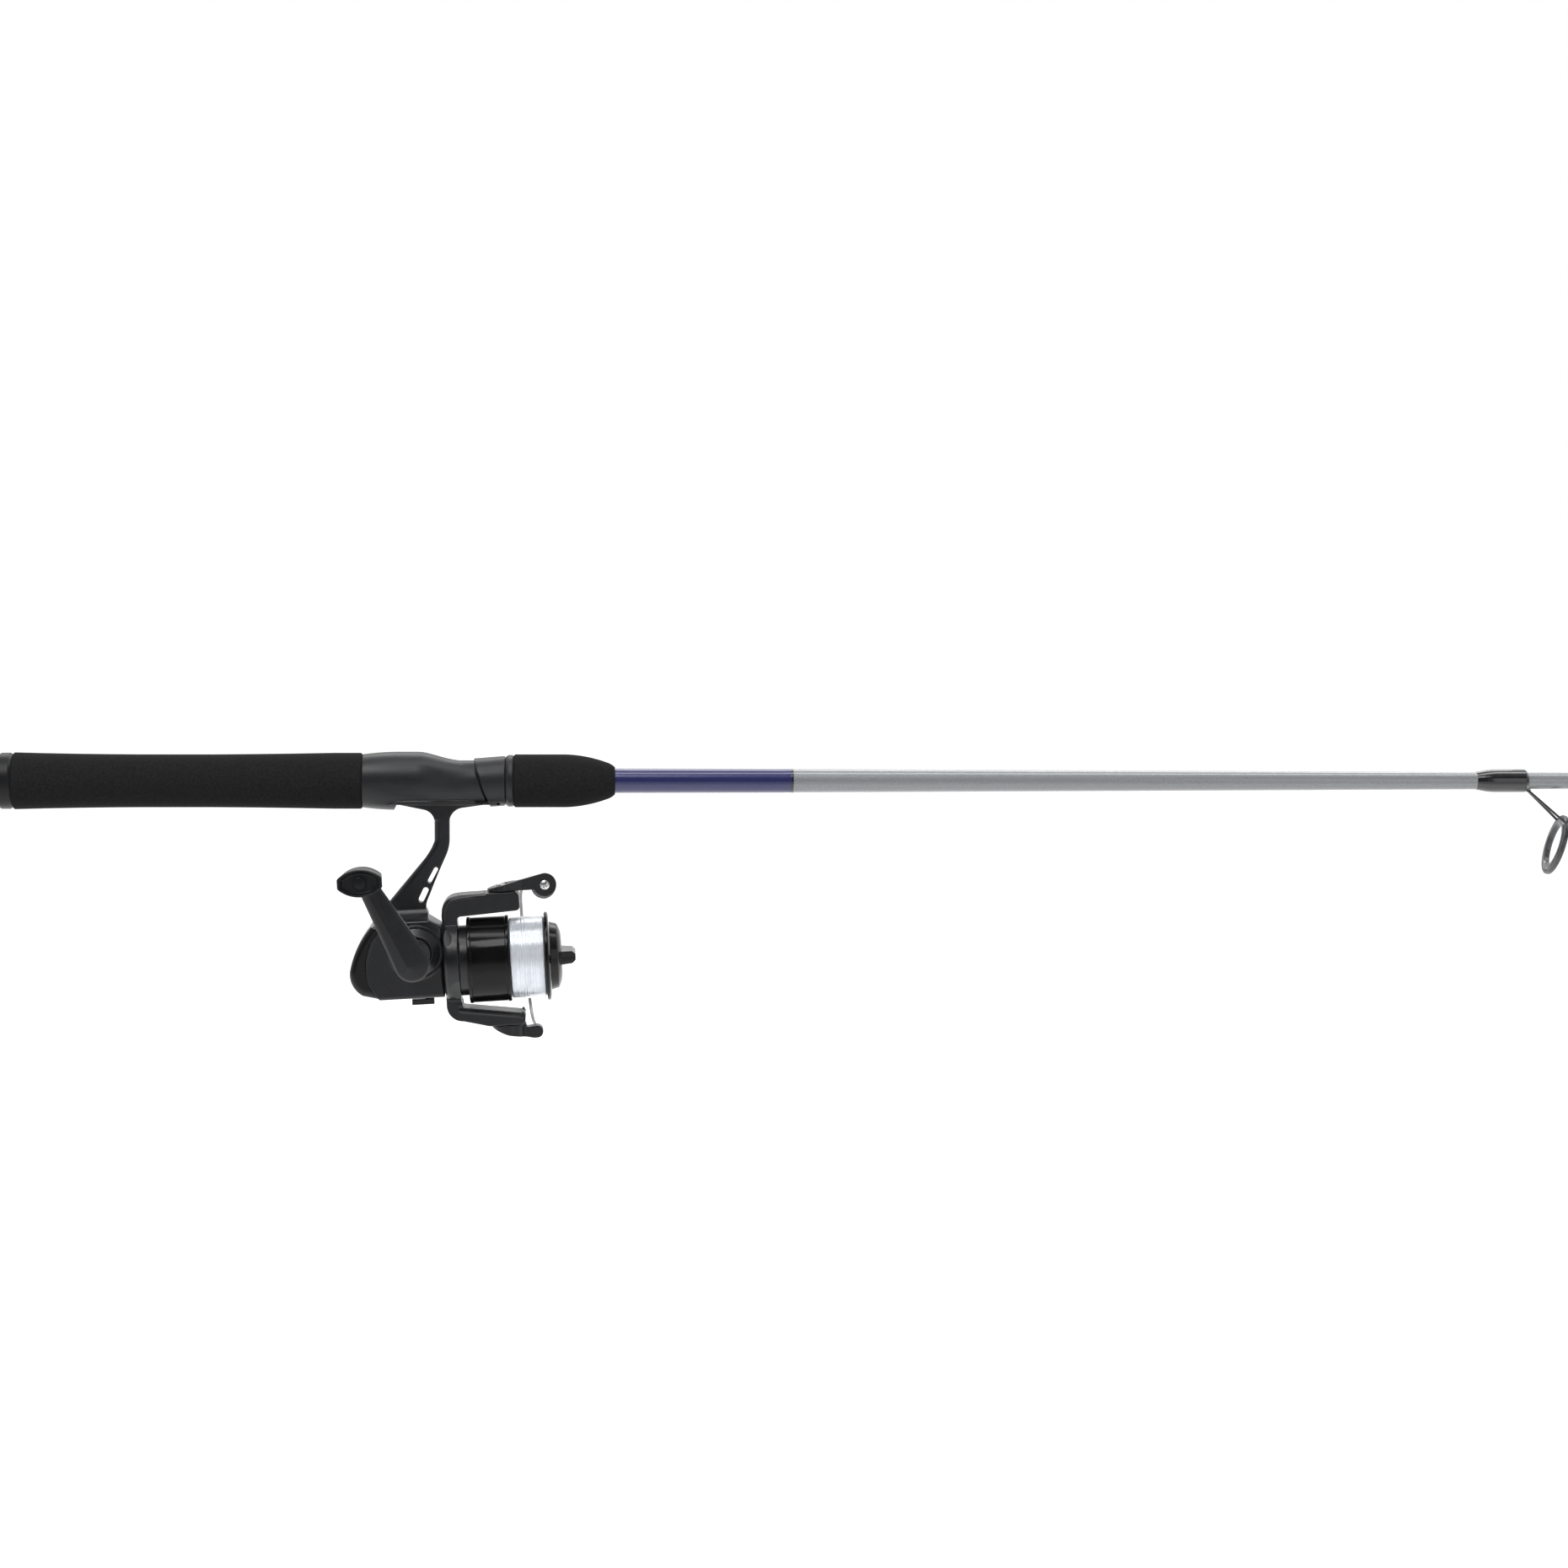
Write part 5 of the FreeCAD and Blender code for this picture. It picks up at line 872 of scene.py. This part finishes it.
winding = {"start": 43.62, "end": 59.88, "inside": 13.1, "radius": 18.85, "turns": 36,
           "perTurn": 4, "ridge": 0.16, "crown": 0.25, "loose": 0.12, "droop": 0.8,
           "droopWidth": 0.7, "sharpAngle": 75}
chance = random.Random(11)
lineWidth = winding["end"] - winding["start"]
lineSteps = winding["turns"] * winding["perTurn"]
lineOutline = [(winding["end"], winding["inside"]), (winding["start"], winding["inside"])]
for step in range(lineSteps + 1):
    share = step / lineSteps
    if step % winding["perTurn"] == 0:
        lift = chance.uniform(-winding["loose"], winding["loose"])
    ridge = winding["ridge"] * abs(math.sin(step * math.pi / winding["perTurn"]))
    crown = winding["crown"] * math.sin(share * math.pi)
    edge = min(share, 1 - share) * lineWidth
    droop = winding["droop"] * max(0, 1 - edge / winding["droopWidth"]) ** 2
    lineOutline.append((winding["start"] + lineWidth * share,
                        winding["radius"] + crown + lift + ridge - droop))
lineForm = turnedForm(lineOutline, reelFrame, spool["segments"])
addPiece("lineWinding", finishedMesh("lineWinding", lineForm, winding["sharpAngle"]),
         "line_winding")

dragKnob = {"skin": (0.22, 5, 0.5)}
mouldedPiece("dragKnob", "drag_knob", dragKnob["skin"])
print("spool ready")

# The studio, in metres: a camera, four lamps, a pale floor and a pale room. A fade is the two
# values of Y it runs between, and what it gives at each.

studio = {
    "aim": (0.378, 0, -0.0015), "azimuth": -3.2, "elevation": 5.0, "distance": 1.80,
    "lens": 88.0, "farthest": 200,
    "floorLevel": -0.42, "floorSize": 60.0, "floorColour": (0.8, 0.8, 0.8, 1),
    "floorGlow": 0.8, "floorFade": (-1.0, -0.35, 0.1, 1.0),
    "white": (1, 1, 1, 1), "roomLight": 0.38, "roomFade": (-0.9, 0.35, 0.06, 1.0),
    "keyPlace": (-0.5, -1.6, 2.2), "keySize": (1.8, 0.9), "keyWatts": 38.0,
    "fillPlace": (1.6, -2.2, 0.5), "fillSize": (1.4, 1.4), "fillWatts": 7.0,
    "backPlace": (0.4, 1.8, 1.9), "backSize": (2.0, 0.8), "backWatts": 18.0,
    "topPlace": (0.5, -0.25, 1.7), "topSize": (3.0, 0.35), "topWatts": 16.0,
}


def addCamera():
    azimuth, elevation = math.radians(studio["azimuth"]), math.radians(studio["elevation"])
    back = Vector((math.sin(azimuth) * math.cos(elevation),
                   -math.cos(azimuth) * math.cos(elevation), math.sin(elevation)))
    camera = bpy.data.objects.new("camera", bpy.data.cameras.new("camera"))
    camera.data.lens = studio["lens"]
    camera.data.clip_end = studio["farthest"]
    camera.location = Vector(studio["aim"]) + back * studio["distance"]
    along = Vector((1, 0, 0))
    right = (along - back * along.dot(back)).normalized()  # keeps the rod level
    turn = Matrix((right, back.cross(right), back)).transposed()
    camera.rotation_euler = turn.to_euler()
    bpy.context.scene.collection.objects.link(camera)
    bpy.context.scene.camera = camera


def addLamp(name):
    lamp = bpy.data.objects.new(name, bpy.data.lights.new(name, "AREA"))
    lamp.data.shape = "RECTANGLE"
    lamp.data.size, lamp.data.size_y = studio[name + "Size"]
    lamp.data.energy = studio[name + "Watts"]
    lamp.location = studio[name + "Place"]
    away = Vector(studio["aim"]) - lamp.location
    lamp.rotation_euler = away.to_track_quat("-Z", "Y").to_euler()
    bpy.context.scene.collection.objects.link(lamp)


def seenRay(tree):
    # the rays that show the surroundings: to the camera, in a mirror or through glass
    path = addNode(tree, "ShaderNodeLightPath")
    total = path.outputs["Is Camera Ray"]
    for name in ("Is Glossy Ray", "Is Transmission Ray"):
        total = mathStep(tree, "ADD", total, path.outputs[name], clamp=True)
    return path.outputs["Is Camera Ray"], total


def addFloor():
    mesh = bpy.data.meshes.new("floor")
    half = studio["floorSize"] / 2
    corners = [(x * half, y * half, studio["floorLevel"])
               for x, y in ((-1, -1), (1, -1), (1, 1), (-1, 1))]
    mesh.from_pydata(corners, [], [(0, 1, 2, 3)])
    floor = bpy.data.objects.new("floor", mesh)
    bpy.context.scene.collection.objects.link(floor)
    finish = bpy.data.materials.new("paleFloor")
    finish.use_nodes = True
    tree = finish.node_tree
    tree.nodes.clear()
    diffuse = addNode(tree, "ShaderNodeBsdfDiffuse", in_Color=studio["floorColour"])
    glow = addNode(tree, "ShaderNodeEmission", in_Color=studio["white"])
    toCamera, seen = seenRay(tree)
    # in a mirror the floor's glow fades towards the front, and the camera sees all of it
    fade = ranged(tree, axisOf(tree, objectPoint(tree), "Y"), *studio["floorFade"], "SMOOTHSTEP")
    share = mathStep(tree, "MULTIPLY", seen, mathStep(tree, "MAXIMUM", toCamera, fade))
    tree.links.new(mathStep(tree, "MULTIPLY", share, studio["floorGlow"]), glow.inputs["Strength"])
    both = addNode(tree, "ShaderNodeAddShader")
    tree.links.new(diffuse.outputs["BSDF"], both.inputs[0])
    tree.links.new(glow.outputs["Emission"], both.inputs[1])
    output = addNode(tree, "ShaderNodeOutputMaterial")
    tree.links.new(both.outputs["Shader"], output.inputs["Surface"])
    mesh.materials.append(finish)


def mixed(tree, share, first, second):
    # first where the share is 0 and second where it is 1
    mix = addNode(tree, "ShaderNodeMix", data_type="FLOAT")
    tree.links.new(share, mix.inputs["Factor"])
    for socket, value in (("A", first), ("B", second)):
        if isinstance(value, float):
            mix.inputs[socket].default_value = value
        else:
            tree.links.new(value, mix.inputs[socket])
    return mix.outputs["Result"]


def addWorld():
    world = bpy.data.worlds.new("studioRoom")
    bpy.context.scene.world = world
    world.use_nodes = True
    tree = world.node_tree
    tree.nodes.clear()
    direction = addNode(tree, "ShaderNodeTexCoord").outputs["Generated"]
    # a mirror sees a dim room in front of the object and a white one behind it
    room = ranged(tree, axisOf(tree, direction, "Y"), *studio["roomFade"], "SMOOTHSTEP")
    toCamera, seen = seenRay(tree)
    strength = mixed(tree, toCamera, mixed(tree, seen, studio["roomLight"], room), 1.0)
    background = addNode(tree, "ShaderNodeBackground", in_Color=studio["white"])
    tree.links.new(strength, background.inputs["Strength"])
    output = addNode(tree, "ShaderNodeOutputWorld")
    tree.links.new(background.outputs["Background"], output.inputs["Surface"])


addCamera()
for lampName in ("key", "fill", "back", "top"):
    addLamp(lampName)
addFloor()
addWorld()
bpy.context.scene.view_settings.view_transform = "Standard"
print("studio ready")

bpy.context.view_layer.update()
